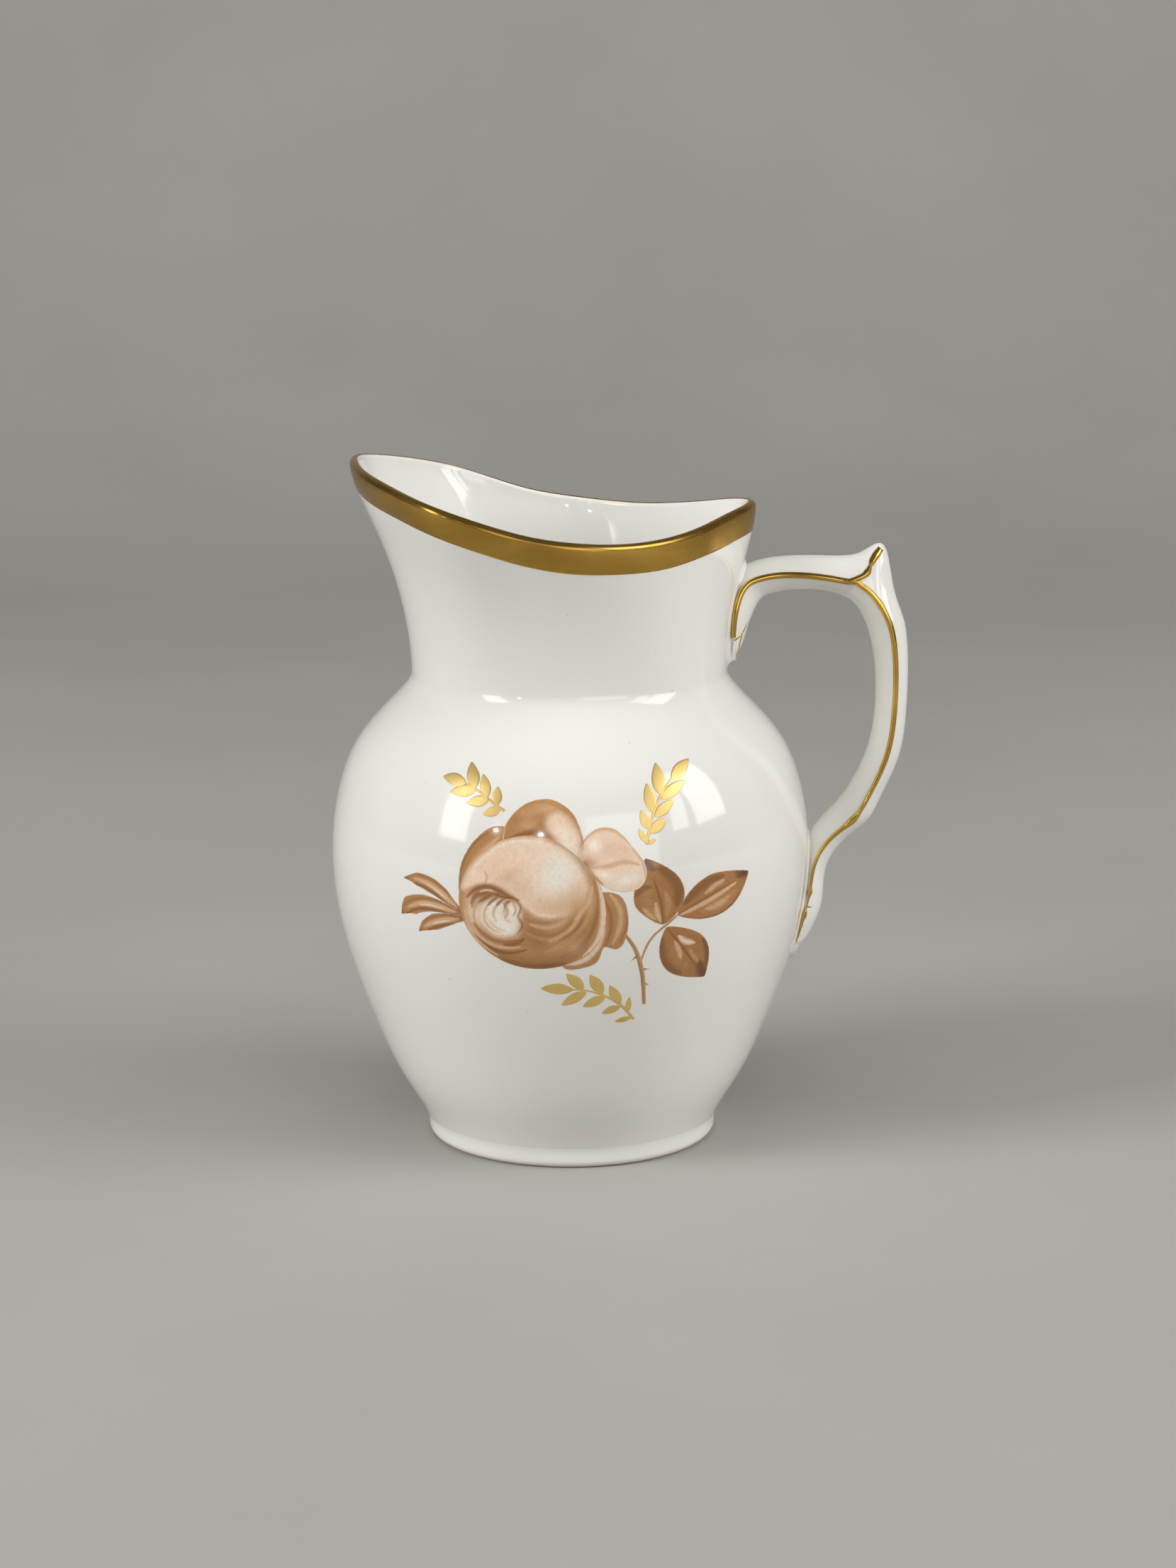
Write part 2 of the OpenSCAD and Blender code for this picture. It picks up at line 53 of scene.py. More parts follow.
BELLY_R, BELLY_Z = 40.0, 50.0
FOOT_R, FOOT_H = 24.3, 3.5
NECK_R, NECK_Z = 26.3, 79.5
WALL, LIP_T = 2.4, 1.6
SPOUT_REACH, SPOUT_Z = 35.9, 115.0
LIP_HANDLE_R, LIP_HANDLE_Z = 30.9, 107.5
LIP_LOW_Z = 104.0
HANDLE_HALF_T = 4.0
BAND_H = 4.0
FLOOR_Z = FOOT_H + 2.6
EDGE = 1.4                             # rounding of the foot's lower outer edge
AROUND, BAND_AROUND = 288, 480         # points round the body and round the gold band

BELLY_PROFILE = [                      # height, radius
    (FOOT_H, FOOT_R + 0.3), (10, 0.71 * BELLY_R), (20, 0.827 * BELLY_R), (32, 0.932 * BELLY_R),
    (44, 0.994 * BELLY_R), (BELLY_Z, BELLY_R), (56, 0.987 * BELLY_R), (62, 0.953 * BELLY_R),
    (68, 0.885 * BELLY_R), (72.5, 0.793 * BELLY_R), (76.5, NECK_R + 1.6), (NECK_Z, NECK_R),
]
LIP_RADII = [                          # angle from the handle, radius
    (0, LIP_HANDLE_R), (20, LIP_HANDLE_R - 2.3), (45, LIP_HANDLE_R - 2.9),
    (70, LIP_HANDLE_R - 1.5), (90, LIP_HANDLE_R + 0.5), (106, SPOUT_REACH - 2.7),
    (122, SPOUT_REACH + 1.1), (140, SPOUT_REACH + 0.7), (160, SPOUT_REACH + 0.2),
    (180, SPOUT_REACH),
]
LIP_HEIGHTS = [                        # angle from the handle, height
    (0, LIP_HANDLE_Z), (25, LIP_LOW_Z + 2.2), (45, LIP_LOW_Z + 0.85), (68, LIP_LOW_Z),
    (90, LIP_LOW_Z + 0.7), (106, LIP_LOW_Z + 2.4), (122, SPOUT_Z - 5.3), (140, SPOUT_Z - 2.7),
    (160, SPOUT_Z - 0.9), (180, SPOUT_Z),
]
# Sections of the handle: inner x, inner z, outer x, outer z, place of the ridge as a share of
# the way across, half thickness as a share of HANDLE_HALF_T
STATIONS = [
    (27.1, 80.8, 26.2, 81.0, 0.50, 0.35), (28.6, 83.0, 25.8, 82.8, 0.56, 0.9),
    (29.6, 86.0, 25.6, 86.4, 0.62, 1.25), (30.6, 88.8, 25.9, 90.6, 0.67, 1.35),
    (31.8, 91.0, 27.2, 94.8, 0.65, 1.25), (33.6, 92.0, 29.6, 96.9, 0.59, 1.1),
    (36.4, 92.5, 33.8, 98.0, 0.54, 1), (40.0, 92.6, 39.6, 98.3, 0.48, 1),
    (43.0, 92.3, 45.0, 98.2, 0.42, 1), (44.6, 91.8, 48.4, 98.8, 0.37, 1),
    (45.6, 91.4, 51.0, 100.2, 0.33, 1), (46.4, 91.0, 52.7, 98.9, 0.32, 1),
    (47.4, 90.1, 53.7, 94.0, 0.46, 1), (48.6, 88.4, 54.8, 90.0, 0.56, 1),
    (50.1, 84.4, 56.1, 85.6, 0.58, 1), (51.0, 78.0, 56.5, 78.2, 0.57, 1),
    (50.8, 71.0, 56.2, 70.6, 0.56, 1), (49.4, 64.8, 55.0, 63.8, 0.56, 1),
    (46.4, 58.8, 52.3, 57.6, 0.57, 1.02), (43.6, 55.4, 50.4, 53.9, 0.58, 1.08),
    (41.4, 53.0, 47.4, 51.2, 0.55, 1.02), (39.6, 50.4, 45.0, 48.8, 0.52, 1.02),
    (38.6, 46.8, 43.2, 45.6, 0.48, 1.08), (38.0, 42.4, 42.7, 41.8, 0.46, 1.15),
    (37.0, 38.2, 42.1, 37.8, 0.43, 1.15), (36.4, 34.6, 40.2, 33.6, 0.45, 1.0),
    (36.0, 32.0, 38.4, 31.2, 0.50, 0.7), (36.0, 30.4, 37.3, 30.2, 0.60, 0.3),
]


# ---- smooth curves ---------------------------------------------------------------------------

def cubic(xs, ys, at, start=None, end=None):
    """The smooth curve through points, with a given slope or no bend at either end."""
    xs, ys, at = (np.asarray(v, float) for v in (xs, ys, at))
    count, step, rise = len(xs), np.diff(xs), np.diff(ys)
    m, rhs = np.zeros((count, count)), np.zeros(count)
    for i in range(1, count - 1):
        m[i, i - 1], m[i, i], m[i, i + 1] = 1 / step[i - 1], 2 / step[i - 1] + 2 / step[i], 1 / step[i]
        rhs[i] = 3 * (rise[i - 1] / step[i - 1] ** 2 + rise[i] / step[i] ** 2)
    for i, j, slope, h, r in ((0, 1, start, step[0], rise[0]), (-1, -2, end, step[-1], rise[-1])):
        m[i, i], m[i, j], rhs[i] = (1, 0, slope) if slope is not None else (2, 1, 3 * r / h)
    slopes = np.linalg.solve(m, rhs)
    i = np.clip(np.searchsorted(xs, at, side="right") - 1, 0, count - 2)
    t = (at - xs[i]) / step[i]
    a, b = slopes[i] * step[i], slopes[i + 1] * step[i]
    return ys[i] + t * (a + t * (3 * rise[i] - 2 * a - b + t * (a + b - 2 * rise[i])))


def round_angles(count):
    return np.arange(count) * 360 / count


def belly_r(z):
    heights, radii = zip(*BELLY_PROFILE)
    return cubic(heights, radii, np.clip(z, FOOT_H, NECK_Z), start=0.42, end=0.0)


def fold(angle):
    """Angle from the handle, 0 to 180."""
    return np.abs((np.asarray(angle, float) + 180) % 360 - 180)


def lip_r(angle):
    angles, radii = zip(*LIP_RADII)
    return cubic(angles, radii, fold(angle), start=0.0, end=0.0)


def lip_z(angle):
    angles, heights = zip(*LIP_HEIGHTS)
    return cubic(angles, heights, fold(angle), start=0.0, end=0.0)


def edge_z(angle):
    """Height where the outside turns over into the rounded lip."""
    return lip_z(angle) - LIP_T / 2


def neck_share(angle, z):
    return np.clip((z - NECK_Z) / (edge_z(angle) - NECK_Z), 0, 1)


def flare(share, angle):
    """Share of the neck's flare reached at a share of its height."""
    power = 1.55 - 0.15 * np.cos(np.radians(angle))
    return share ** power * (1 + 1.4 * share ** 4 * (1 - share))


def outer_r(angle, z):
    angle, z = np.broadcast_arrays(np.asarray(angle, float), np.asarray(z, float))
    neck = NECK_R + (lip_r(angle) - NECK_R) * flare(neck_share(angle, z), angle)
    return np.where(z <= NECK_Z, belly_r(z), neck)


def wall_at(angle, z):
    return WALL + (LIP_T - WALL) * neck_share(angle, z)


def polar(angle, r, z):
    angle = np.radians(angle)
    return np.stack(np.broadcast_arrays(r * np.cos(angle), r * np.sin(angle), z), axis=-1)


# ---- meshes ----------------------------------------------------------------------------------

def smooth_object(name, points, faces, material):
    """A smooth-shaded mesh object in metres from points in millimetres."""
    mesh = bpy.data.meshes.new(name)
    mesh.from_pydata((np.asarray(points, float).reshape(-1, 3) * MM).tolist(), [], faces)
    mesh.polygons.foreach_set("use_smooth", [True] * len(mesh.polygons))
    mesh.materials.append(material)
    piece = bpy.data.objects.new(name, mesh)
    bpy.context.scene.collection.objects.link(piece)
    return piece


def make(name, points, faces, material, node):
    """A piece that rides on the jug and takes the place of a CAD node."""
    piece = smooth_object(name, points, faces, material)
    piece.data.validate()
    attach(piece, BODY)
    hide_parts(node)
    return piece


def grid_faces(rows, columns, closed=False):
    """Quads of a grid of points, rows apart by columns, closed round each row or not."""
    last = columns if closed else columns - 1
    return [
        (i * columns + j, i * columns + (j + 1) % columns,
         (i + 1) * columns + (j + 1) % columns, (i + 1) * columns + j)
        for i in range(rows - 1) for j in range(last)
    ]


def loft(rings):
    """Points and faces of a closed solid through rings, with a fan over each end."""
    rings = np.asarray(rings)
    count, size = rings.shape[:2]
    points = np.concatenate([rings.reshape(-1, 3), [rings[0].mean(0), rings[-1].mean(0)]])
    top = (count - 1) * size
    faces = grid_faces(count, size, closed=True)
    faces += [(count * size, (j + 1) % size, j) for j in range(size)]
    faces += [(count * size + 1, top + j, top + (j + 1) % size) for j in range(size)]
    return points, faces


def paint(piece, colours):
    """Stores a colour for each point of a piece, which its material reads."""
    layer = piece.data.color_attributes.new("paint", "FLOAT_COLOR", "POINT")
    rgba = np.ones((len(colours), 4))
    rgba[:, :3] = colours
    layer.data.foreach_set("color", rgba.ravel())


# ---- colours and noise -----------------------------------------------------------------------

def rgb(*values):
    """Linear colour from screen values of 0 to 255."""
    v = np.asarray(values, float) / 255
    return np.where(v <= 0.04045, v / 12.92, ((v + 0.055) / 1.055) ** 2.4)


def value_noise(x, y, seed=0):
    """Smooth noise from 0 to 1 on the plane, about one cell to a unit."""
    xi, yi = np.floor(x), np.floor(y)
    fx, fy = x - xi, y - yi
    fx, fy = fx * fx * (3 - 2 * fx), fy * fy * (3 - 2 * fy)

    def corner(i, j):
        v = np.sin((xi + i) * 127.1 + (yi + j) * 311.7 + seed * 74.7) * 43758.5453
        return v - np.floor(v)

    low = corner(0, 0) * (1 - fx) + corner(1, 0) * fx
    high = corner(0, 1) * (1 - fx) + corner(1, 1) * fx
    return low * (1 - fy) + high * fy


def step(low, high, v):
    """Smooth step from 0 at low to 1 at high."""
    t = np.clip((v - low) / (high - low), 0, 1)
    return t * t * (3 - 2 * t)


def mix(a, b, t):
    return np.asarray(a) * (1 - t)[..., None] + np.asarray(b) * t[..., None]


# ---- materials -------------------------------------------------------------------------------

class Look:
    """A material as it is being made; places in it are object coordinates, in metres."""

    def __init__(self, name):
        self.material = bpy.data.materials.new(name)
        self.material.use_nodes = True
        self.nodes, self.links = self.material.node_tree.nodes, self.material.node_tree.links
        self.shader = self.nodes["Principled BSDF"]
        self.place = self.nodes.new("ShaderNodeTexCoord").outputs["Object"]

    def set(self, **values):
        """Sets inputs of the shader, or links them where the value comes from a node."""
        for key, value in values.items():
            entry = self.shader.inputs[key.replace("_", " ")]
            if isinstance(value, bpy.types.NodeSocket):
                self.links.new(value, entry)
            else:
                entry.default_value = value

    def noise(self, scale, detail=2.0, stretch=None):
        """A noise texture; scale is in cells to a metre."""
        place = self.place
        if stretch:
            mapping = self.nodes.new("ShaderNodeMapping")
            mapping.inputs["Scale"].default_value = stretch
            self.links.new(place, mapping.inputs["Vector"])
            place = mapping.outputs["Vector"]
        texture = self.nodes.new("ShaderNodeTexNoise")
        texture.inputs["Scale"].default_value = scale
        texture.inputs["Detail"].default_value = detail
        self.links.new(place, texture.inputs["Vector"])
        return texture.outputs["Fac"]

    def remap(self, value, low, high, to_low, to_high):
        node = self.nodes.new("ShaderNodeMapRange")
        numbers = {"From Min": low, "From Max": high, "To Min": to_low, "To Max": to_high}
        for key, number in numbers.items():
            node.inputs[key].default_value = number
        self.links.new(value, node.inputs["Value"])
        return node.outputs["Result"]

    def ramp(self, value, stops):
        node = self.nodes.new("ShaderNodeValToRGB")
        elements = node.color_ramp.elements
        while len(elements) < len(stops):
            elements.new(0.5)
        for element, (place, colour) in zip(elements, stops):
            element.position, element.color = place, (*colour, 1)
        self.links.new(value, node.inputs["Fac"])
        return node.outputs["Color"]

    def bump(self, height, distance, strength=1.0):
        node = self.nodes.new("ShaderNodeBump")
        node.inputs["Strength"].default_value = strength
        node.inputs["Distance"].default_value = distance
        self.links.new(height, node.inputs["Height"])
        self.set(Normal=node.outputs["Normal"])

    def glaze(self):
        self.set(IOR=GLAZE_IOR, Coat_Weight=0.35, Coat_Roughness=0.03)


GLAZE_IOR = 1.52


def porcelain_material():
    look = Look("glazed_porcelain")
    tint = look.ramp(look.noise(14, 3), [(0.35, rgb(228, 227, 221)), (0.65, rgb(231, 229, 222))])
    specks = look.ramp(look.noise(900, 1), [(0.80, (1, 1, 1)), (0.86, (0.62, 0.58, 0.52))])
    both = look.nodes.new("ShaderNodeMix")
    both.data_type, both.blend_type = "RGBA", "MULTIPLY"
    both.inputs["Factor"].default_value = 1
    look.links.new(tint, both.inputs["A"])
    look.links.new(specks, both.inputs["B"])
    look.set(Base_Color=both.outputs["Result"],
             Roughness=look.remap(look.noise(60, 3), 0.3, 0.7, 0.07, 0.12))
    look.glaze()
    look.bump(look.noise(130, 1), 0.00003)
    return look.material


def bare_edge_and_painted_highlight_foot_material():
    """The foot: glazed like the body but painted a little lighter, a painted highlight; wiped free of glaze
    and dulled at its lowest edge.
    """
    look = Look("foot_porcelain")
    split = look.nodes.new("ShaderNodeSeparateXYZ")
    look.links.new(look.place, split.inputs["Vector"])
    wiped = look.remap(split.outputs["Z"], 0.0003, 0.0008, 1, 0)
    # Painted highlight: the glazed part is a little lighter than the body's glaze, to brighten the foot. The
    # darker, rougher lowest edge is the wiped, unglazed rim.
    look.set(Base_Color=look.ramp(wiped, [(0.0, rgb(234, 232, 226)), (1.0, rgb(214, 208, 196))]),
             Roughness=look.remap(wiped, 0, 1, 0.1, 0.65), IOR=GLAZE_IOR)
    look.bump(look.noise(260, 3), 0.00003)
    return look.material


def gold_material(name, tones, rough, grain=(1, 1, 1), metal=1.0):
    """Burnished gold fired on glaze, brushed unevenly; tones go from dark to bright."""
    look = Look(name)
    shares = look.noise(500, 4, grain)
    look.set(Base_Color=look.ramp(look.noise(160, 3, grain), list(zip((0.3, 0.5, 0.72), tones))),
             Metallic=metal, Roughness=look.remap(shares, 0.3, 0.7, rough - 0.04, rough + 0.06))
    look.bump(look.noise(1300, 2, grain), 0.000004, 0.3)
    return look.material


def enamel_material():
    """Painted enamel: the colour stored in the piece, with a fine brushed grain."""
    look = Look("painted_enamel")
    stored = look.nodes.new("ShaderNodeVertexColor")
    stored.layer_name = "paint"
    scaled = look.nodes.new("ShaderNodeVectorMath")
    scaled.operation = "SCALE"
    look.links.new(stored.outputs["Color"], scaled.inputs[0])
    look.links.new(look.remap(look.noise(2600, 3), 0.25, 0.75, 0.93, 1.06), scaled.inputs["Scale"])
    look.set(Base_Color=scaled.outputs["Vector"],
             Roughness=look.remap(look.noise(300, 2), 0.3, 0.7, 0.1, 0.18))
    look.glaze()
    return look.material


# ---- body and foot ---------------------------------------------------------------------------

def build_body(porcelain):
    angles, rings = round_angles(AROUND), []

    def ring(r, z):
        rings.append(polar(angles, np.broadcast_to(r, angles.shape), np.broadcast_to(z, angles.shape)))

    for drop, inset in ((0.4, 0.25), (0.25, 0.14), (0.1, 0.05)):
        ring(belly_r(FOOT_H) - inset, FOOT_H - drop)
    shares = 1 - (1 - np.linspace(0, 1, 121)) ** 1.3
    for share in shares:
        z = FOOT_H + (NECK_Z - FOOT_H) * share
        ring(belly_r(z), z)
    for share in np.linspace(0, 1, 61)[1:]:
        z = NECK_Z + (edge_z(angles) - NECK_Z) * share
        ring(outer_r(angles, z), z)
    for turn in np.radians(np.linspace(15, 165, 11)):
        inset, up = LIP_T / 2 * (1 - math.cos(turn)), LIP_T / 2 * math.sin(turn)
        ring(lip_r(angles) - inset, edge_z(angles) + up)
    for share in np.linspace(1, 0, 45):
        z = NECK_Z + (edge_z(angles) - NECK_Z) * share
        ring(outer_r(angles, z) - wall_at(angles, z), z)
    floor_start = FLOOR_Z + 6
    for z in np.linspace(NECK_Z, floor_start, 70)[1:]:
        ring(belly_r(z) - WALL, z)
    start_r = float(belly_r(floor_start)) - WALL
    for turn in np.radians(np.linspace(0, 90, 16)[1:]):
        ring(start_r - 8 + 8 * math.cos(turn), floor_start - 6 * math.sin(turn))
    for share in np.linspace(1, 0.05, 10)[1:]:
        ring((start_r - 8) * share, FLOOR_Z)
    points, faces = loft(rings)
    return make("jug_body", points, faces, porcelain, "body")


def build_foot(foot_bare_edge_and_highlight):
    """The foot ring: round outside, a narrow flat to stand on, hollow underneath."""
    heights = np.linspace(FOOT_H, EDGE, 24)
    radii = [FOOT_R, FOOT_R + 0.02, FOOT_R + 0.06, FOOT_R + 0.3]
    waist = cubic([EDGE, 1.9, 2.5, FOOT_H], radii, heights, end=0.42)
    outside = [(FOOT_R, FOOT_H + 0.02), (FOOT_R + 0.29, FOOT_H + 0.01)] + list(zip(waist, heights))
    for turn in np.radians(np.linspace(8, 90, 14)):
        outside.append((FOOT_R - EDGE + EDGE * math.cos(turn), EDGE - EDGE * math.sin(turn)))
    hollow = [(2.3, 0), (2.6, 0.25), (2.9, 0.8), (3, 1.6), (3, FOOT_H)]
    profile = np.array(outside + [(FOOT_R - inset, z) for inset, z in hollow])
    angles = round_angles(AROUND)
    rings = [polar(angles, r, z) for r, z in profile]
    points = np.concatenate(rings)
    faces = grid_faces(len(rings), len(angles), closed=True)
    faces = [face[::-1] for face in faces]
    make("foot_ring_piece", points, faces, foot_bare_edge_and_highlight, "foot_ring")


# ---- handle ------------------------------------------------------------------------------------

def station(s):
    """Sections of the handle at places along it, smooth from one to the next."""
    rows = np.array(STATIONS, float)
    return np.stack([cubic(np.arange(len(rows)), rows[:, k], s) for k in range(rows.shape[1])], axis=-1)


def swell(t, ridge):
    off = np.where(t < ridge, (ridge - t) / ridge, (t - ridge) / (1 - ridge))
    return np.sqrt(np.clip(1 - off ** 1.15, 0, None))


def leaf_step(s, t):
    """How far the leaf shape at each end of the handle stands above the leaf under it."""
    upper_edge = np.interp(t, [0, 0.04, 0.17, 0.3, 0.5, 1], [2.7, 2.5, 2.1, 1.85, 1.65, 1.6])
    upper = step(-0.06, 0.06, s - upper_edge) * (1 - step(2.6, 4.5, s))
    lower_edge = np.interp(t, [0, 0.3, 0.6, 1], [25.2, 25.3, 25.45, 25.1])
    lower = step(-0.06, 0.06, lower_edge - s) * step(22.6, 24.4, s)
    return 0.45 * upper + 0.35 * lower


def handle_surface(s, t, side):
    """Points of the handle: place along it, share of the way across, side (-1 is the front)."""
    s, t = np.broadcast_arrays(np.asarray(s, float), np.asarray(t, float))
    row = station(s)
    full = swell(t, row[..., 4])
    y = side * (HANDLE_HALF_T * row[..., 5] * full + leaf_step(s, t) * np.minimum(1, 1.6 * full))
    x = row[..., 0] + (row[..., 2] - row[..., 0]) * t
    z = row[..., 1] + (row[..., 3] - row[..., 1]) * t
    return np.stack([x, y, z], axis=-1)


def build_handle(porcelain):
    across = 0.5 - 0.5 * np.cos(np.linspace(0, np.pi, 45))
    rings = []
    for s in np.linspace(0, len(STATIONS) - 1, 16 * (len(STATIONS) - 1) + 1):
        front = handle_surface(s, across, -1)
        back = handle_surface(s, across[-2:0:-1], 1)
        rings.append(np.concatenate([front, back]))
    points, faces = loft(rings)
    faces = [face[::-1] for face in faces]
    return make("jug_handle", points, faces, porcelain, "handle")


# ---- joining slip --------------------------------------------------------------------------------

def tree_of(pieces):
    """A search tree, in millimetres, over the faces of some pieces."""
    points, faces = [], []
    for piece in pieces:
        base = len(points)
        points += [v.co / MM for v in piece.data.vertices]
        faces += [[base + i for i in face.vertices] for face in piece.data.polygons]
    return BVHTree.FromPolygons(points, faces)


def body_normal(angle, z):
    """Outward normals of the body's outside."""
    turn, lift = 0.2, 0.2
    here = polar(angle, outer_r(angle, z), z)
    round_it = polar(angle + turn, outer_r(angle + turn, z), z) - here
    up_it = polar(angle, outer_r(angle, z + lift), z + lift) - here
    normal = np.cross(round_it, up_it)
    return normal / np.linalg.norm(normal, axis=-1, keepdims=True)


def build_lute(name, node, handle_tree, low_z, high_z, half_angle, reach, material):
    """Slip smoothed into the corner between the handle's end and the body."""
    angles, heights = np.linspace(-half_angle, half_angle, 91), np.linspace(low_z, high_z, 181)
    angle, z = np.meshgrid(angles, heights)
    skin, normal = polar(angle, outer_r(angle, z), z), body_normal(angle, z)
    gap = np.array([
        handle_tree.find_nearest(Vector(p))[3] for p in skin.reshape(-1, 3)
    ]).reshape(angle.shape)
    near = np.clip(gap / reach, 0, 1)
    rise = reach * (1 - np.sqrt(1 - (1 - near) ** 2)) - 0.04
    keep = near < 1
    points = skin + normal * rise[..., None]
    faces = [
        face for face in grid_faces(len(heights), len(angles))
        if any(keep.flat[i] for i in face)
    ]
    piece = make(name, points, faces, material, node)
    drop_loose(piece)
    return piece


def drop_loose(piece):
    mesh = bmesh.new()
    mesh.from_mesh(piece.data)
    bmesh.ops.delete(mesh, geom=[v for v in mesh.verts if not v.link_faces], context="VERTS")
    mesh.to_mesh(piece.data)
    mesh.free()


# ---- gilding ---------------------------------------------------------------------------------------

def build_rim_gilding(gold):
    """The gold band: up the outside of the lip and over its crest."""
    angles = round_angles(BAND_AROUND)
    wave = 0.08 * np.sin(np.radians(3 * angles + 40)) + 0.05 * np.sin(np.radians(11 * angles))
    wave -= 0.4 * step(140, 180, fold(angles))
    lift, rings = 0.05, []
    foot = edge_z(angles) - BAND_H - wave
    for share, up in [(0, -0.03)] + [(s, lift) for s in np.linspace(0, 1, 22)]:
        z = foot + (edge_z(angles) - foot) * share
        rings.append(polar(angles, outer_r(angles, z) + up, z))
    for turn, up in [(t, lift) for t in range(15, 121, 15)] + [(120, -0.03)]:
        bend, half = math.radians(turn), LIP_T / 2
        r = lip_r(angles) - half + (half + up) * math.cos(bend)
        rings.append(polar(angles, r, edge_z(angles) + (half + up) * math.sin(bend)))
    faces = grid_faces(len(rings), len(angles), closed=True)
    make("rim_gold_band", np.concatenate(rings), faces, gold, "rim_gilding")


def lengths(points):
    """Length along a line of points at each of them."""
    return np.concatenate([[0], np.cumsum(np.linalg.norm(np.diff(points, axis=0), axis=1))])


def smooth_path(points, count):
    """Points evenly spread along the smooth curve through a few points."""
    points = np.asarray(points, float)
    along = lengths(points)
    at = np.linspace(0, along[-1], count)
    return np.stack([cubic(along, points[:, k], at) for k in range(points.shape[1])], axis=-1)


def cord(path, widths, side, height=0.46, sink=0.17):
    """A raised line of gold along a path: an oval section set into the surface."""
    path = np.asarray(path)
    ahead = np.gradient(path, axis=0)
    ahead[:, 1] = 0
    ahead /= np.linalg.norm(ahead, axis=1, keepdims=True)
    across = np.stack([-ahead[:, 2], np.zeros(len(path)), ahead[:, 0]], axis=1)
    turns = np.radians(np.arange(0, 360, 30))
    rings = []
    for p, a, w in zip(path, across, widths):
        out = side * (height * min(1, w / 0.5) * np.sin(turns) - sink)
        rings.append(p + np.cos(turns)[:, None] * a * w / 2 + out[:, None] * [0, 1, 0])
    points, faces = loft(rings)
    return points, faces if side > 0 else [face[::-1] for face in faces]


def joined(parts):
    """Several (points, faces) as one."""
    points, faces = [], []
    for some, theirs in parts:
        base = sum(len(p) for p in points)
        points.append(some)
        faces += [tuple(base + i for i in face) for face in theirs]
    return np.concatenate(points), faces


def on_handle(tree, flat, side):
    """Points of the XZ plane laid on the front or back of the handle and body."""
    laid = []
    for x, z in flat:
        hit = tree.ray_cast(Vector((x, side * 30, z)), Vector((0, -side, 0)))[0]
        laid.append([x, hit.y if hit else side * 2, z])
    return np.array(laid)


def fine_line(tree, points, widths, side):
    """A thin gold line laid on the handle through a few XZ points, with its own widths."""
    flat = smooth_path(points, 10 * len(points))
    path = on_handle(tree, flat, side)
    share = np.linspace(0, 1, len(path))
    return cord(path, np.interp(share, np.linspace(0, 1, len(widths)), widths), side, 0.22, 0.05)


RIDGE_FIRST, RIDGE_LAST = 1.75, 25.3


def ridge_width(s):
    """Width of the gold line along the handle: beads on it near its foot, finer at its ends."""
    places = [RIDGE_FIRST, 3, 8, 12, 17, 18.7, 20, 22, 23.6, 24.4, RIDGE_LAST]
    width = np.interp(s, places, [0.75, 1.05, 1.05, 1, 0.9, 0.75, 0.8, 0.6, 0.3, 0.5, 0.42])
    beads = ((12.6, 0.15, 0.3), (19.15, 0.5, 0.3), (23.05, 0.45, 0.14), (24.0, 0.5, 0.17))
    for place, extra, spread in beads:
        width = width + extra * np.exp(-((s - place) / spread) ** 2)
    return width


def build_handle_gilding(tree, side, face, gold):
    s = np.linspace(RIDGE_FIRST, RIDGE_LAST, 360)
    ridge = station(s)[:, 4]
    parts = [cord(handle_surface(s, ridge, side), ridge_width(s), side)]
    parts += [fine_line(tree, *line, side) for line in (
        ([(27.2, 84.9), (28.1, 85.4), (28.8, 86.2), (29.3, 87.5)], [0.5, 0.45, 0.3, 0.1]),
        ([(28.8, 86.2), (28.2, 84), (27.9, 82.6), (27.4, 81.6)], [0.1, 0.3, 0.35, 0.2]),
        ([(39.5, 39.7), (40.1, 39.3), (40.7, 39.4)], [0.3, 0.25, 0.1]),
        ([(37.4, 33.4), (38, 33.2), (38.6, 33.7)], [0.3, 0.25, 0.12]),
        ([(38.1, 33.2), (37.5, 32.2), (36.7, 31)], [0.15, 0.3, 0.15]),
    )]
    points, faces = joined(parts)
    node = f"handle_gilding_{face}"
    make(f"handle_gold_line_{face}", points, faces, gold, node)


def build_thumb_gilding(tree, side, face, gold):
    """The gold that sweeps up from the arm to the thumb peak as a short bead and a long one."""
    curve = [
        (45.2, 94.6), (46.3, 94.5), (47.7, 94.9), (48.9, 95.5), (49.4, 96.1), (49.7, 96.8),
        (50.3, 97.9), (51, 98.8), (51.6, 99.5)
    ]
    path = on_handle(tree, smooth_path(curve, 90), side)
    share = np.linspace(0, 1, len(path))
    places = [0, 0.15, 0.3, 0.42, 0.5, 0.57, 0.63, 0.72, 0.85, 1]
    widths = np.interp(share, places, [0.5, 0.9, 1, 1.05, 1.3, 0.95, 0.7, 1.2, 1.35, 1.1])
    points, faces = cord(path, widths, side, 0.55)
    make(f"thumb_gold_{face}", points, faces, gold, f"thumb_gilding_{face}")


# ---- painting on the belly ---------------------------------------------------------------------------

# Paints, as they look on the white glaze
WHITE = rgb(230, 228, 222)
PALE, BLUSH, SAND, TAN = rgb(238, 226, 210), rgb(233, 206, 180), rgb(214, 174, 136), rgb(192, 146, 100)
CLAY, UMBER, DARK, DEEP = rgb(174, 127, 78), rgb(148, 100, 52), rgb(124, 76, 32), rgb(100, 57, 20)
LEAF = rgb(162, 112, 60)
LEAF_ROWS = 90                         # rows of points along a painted leaf
GRAIN = 0.035                          # how uneven the cover of a whole picture is
SUNK = -0.02                           # height of a painted piece's edges, just under the glaze


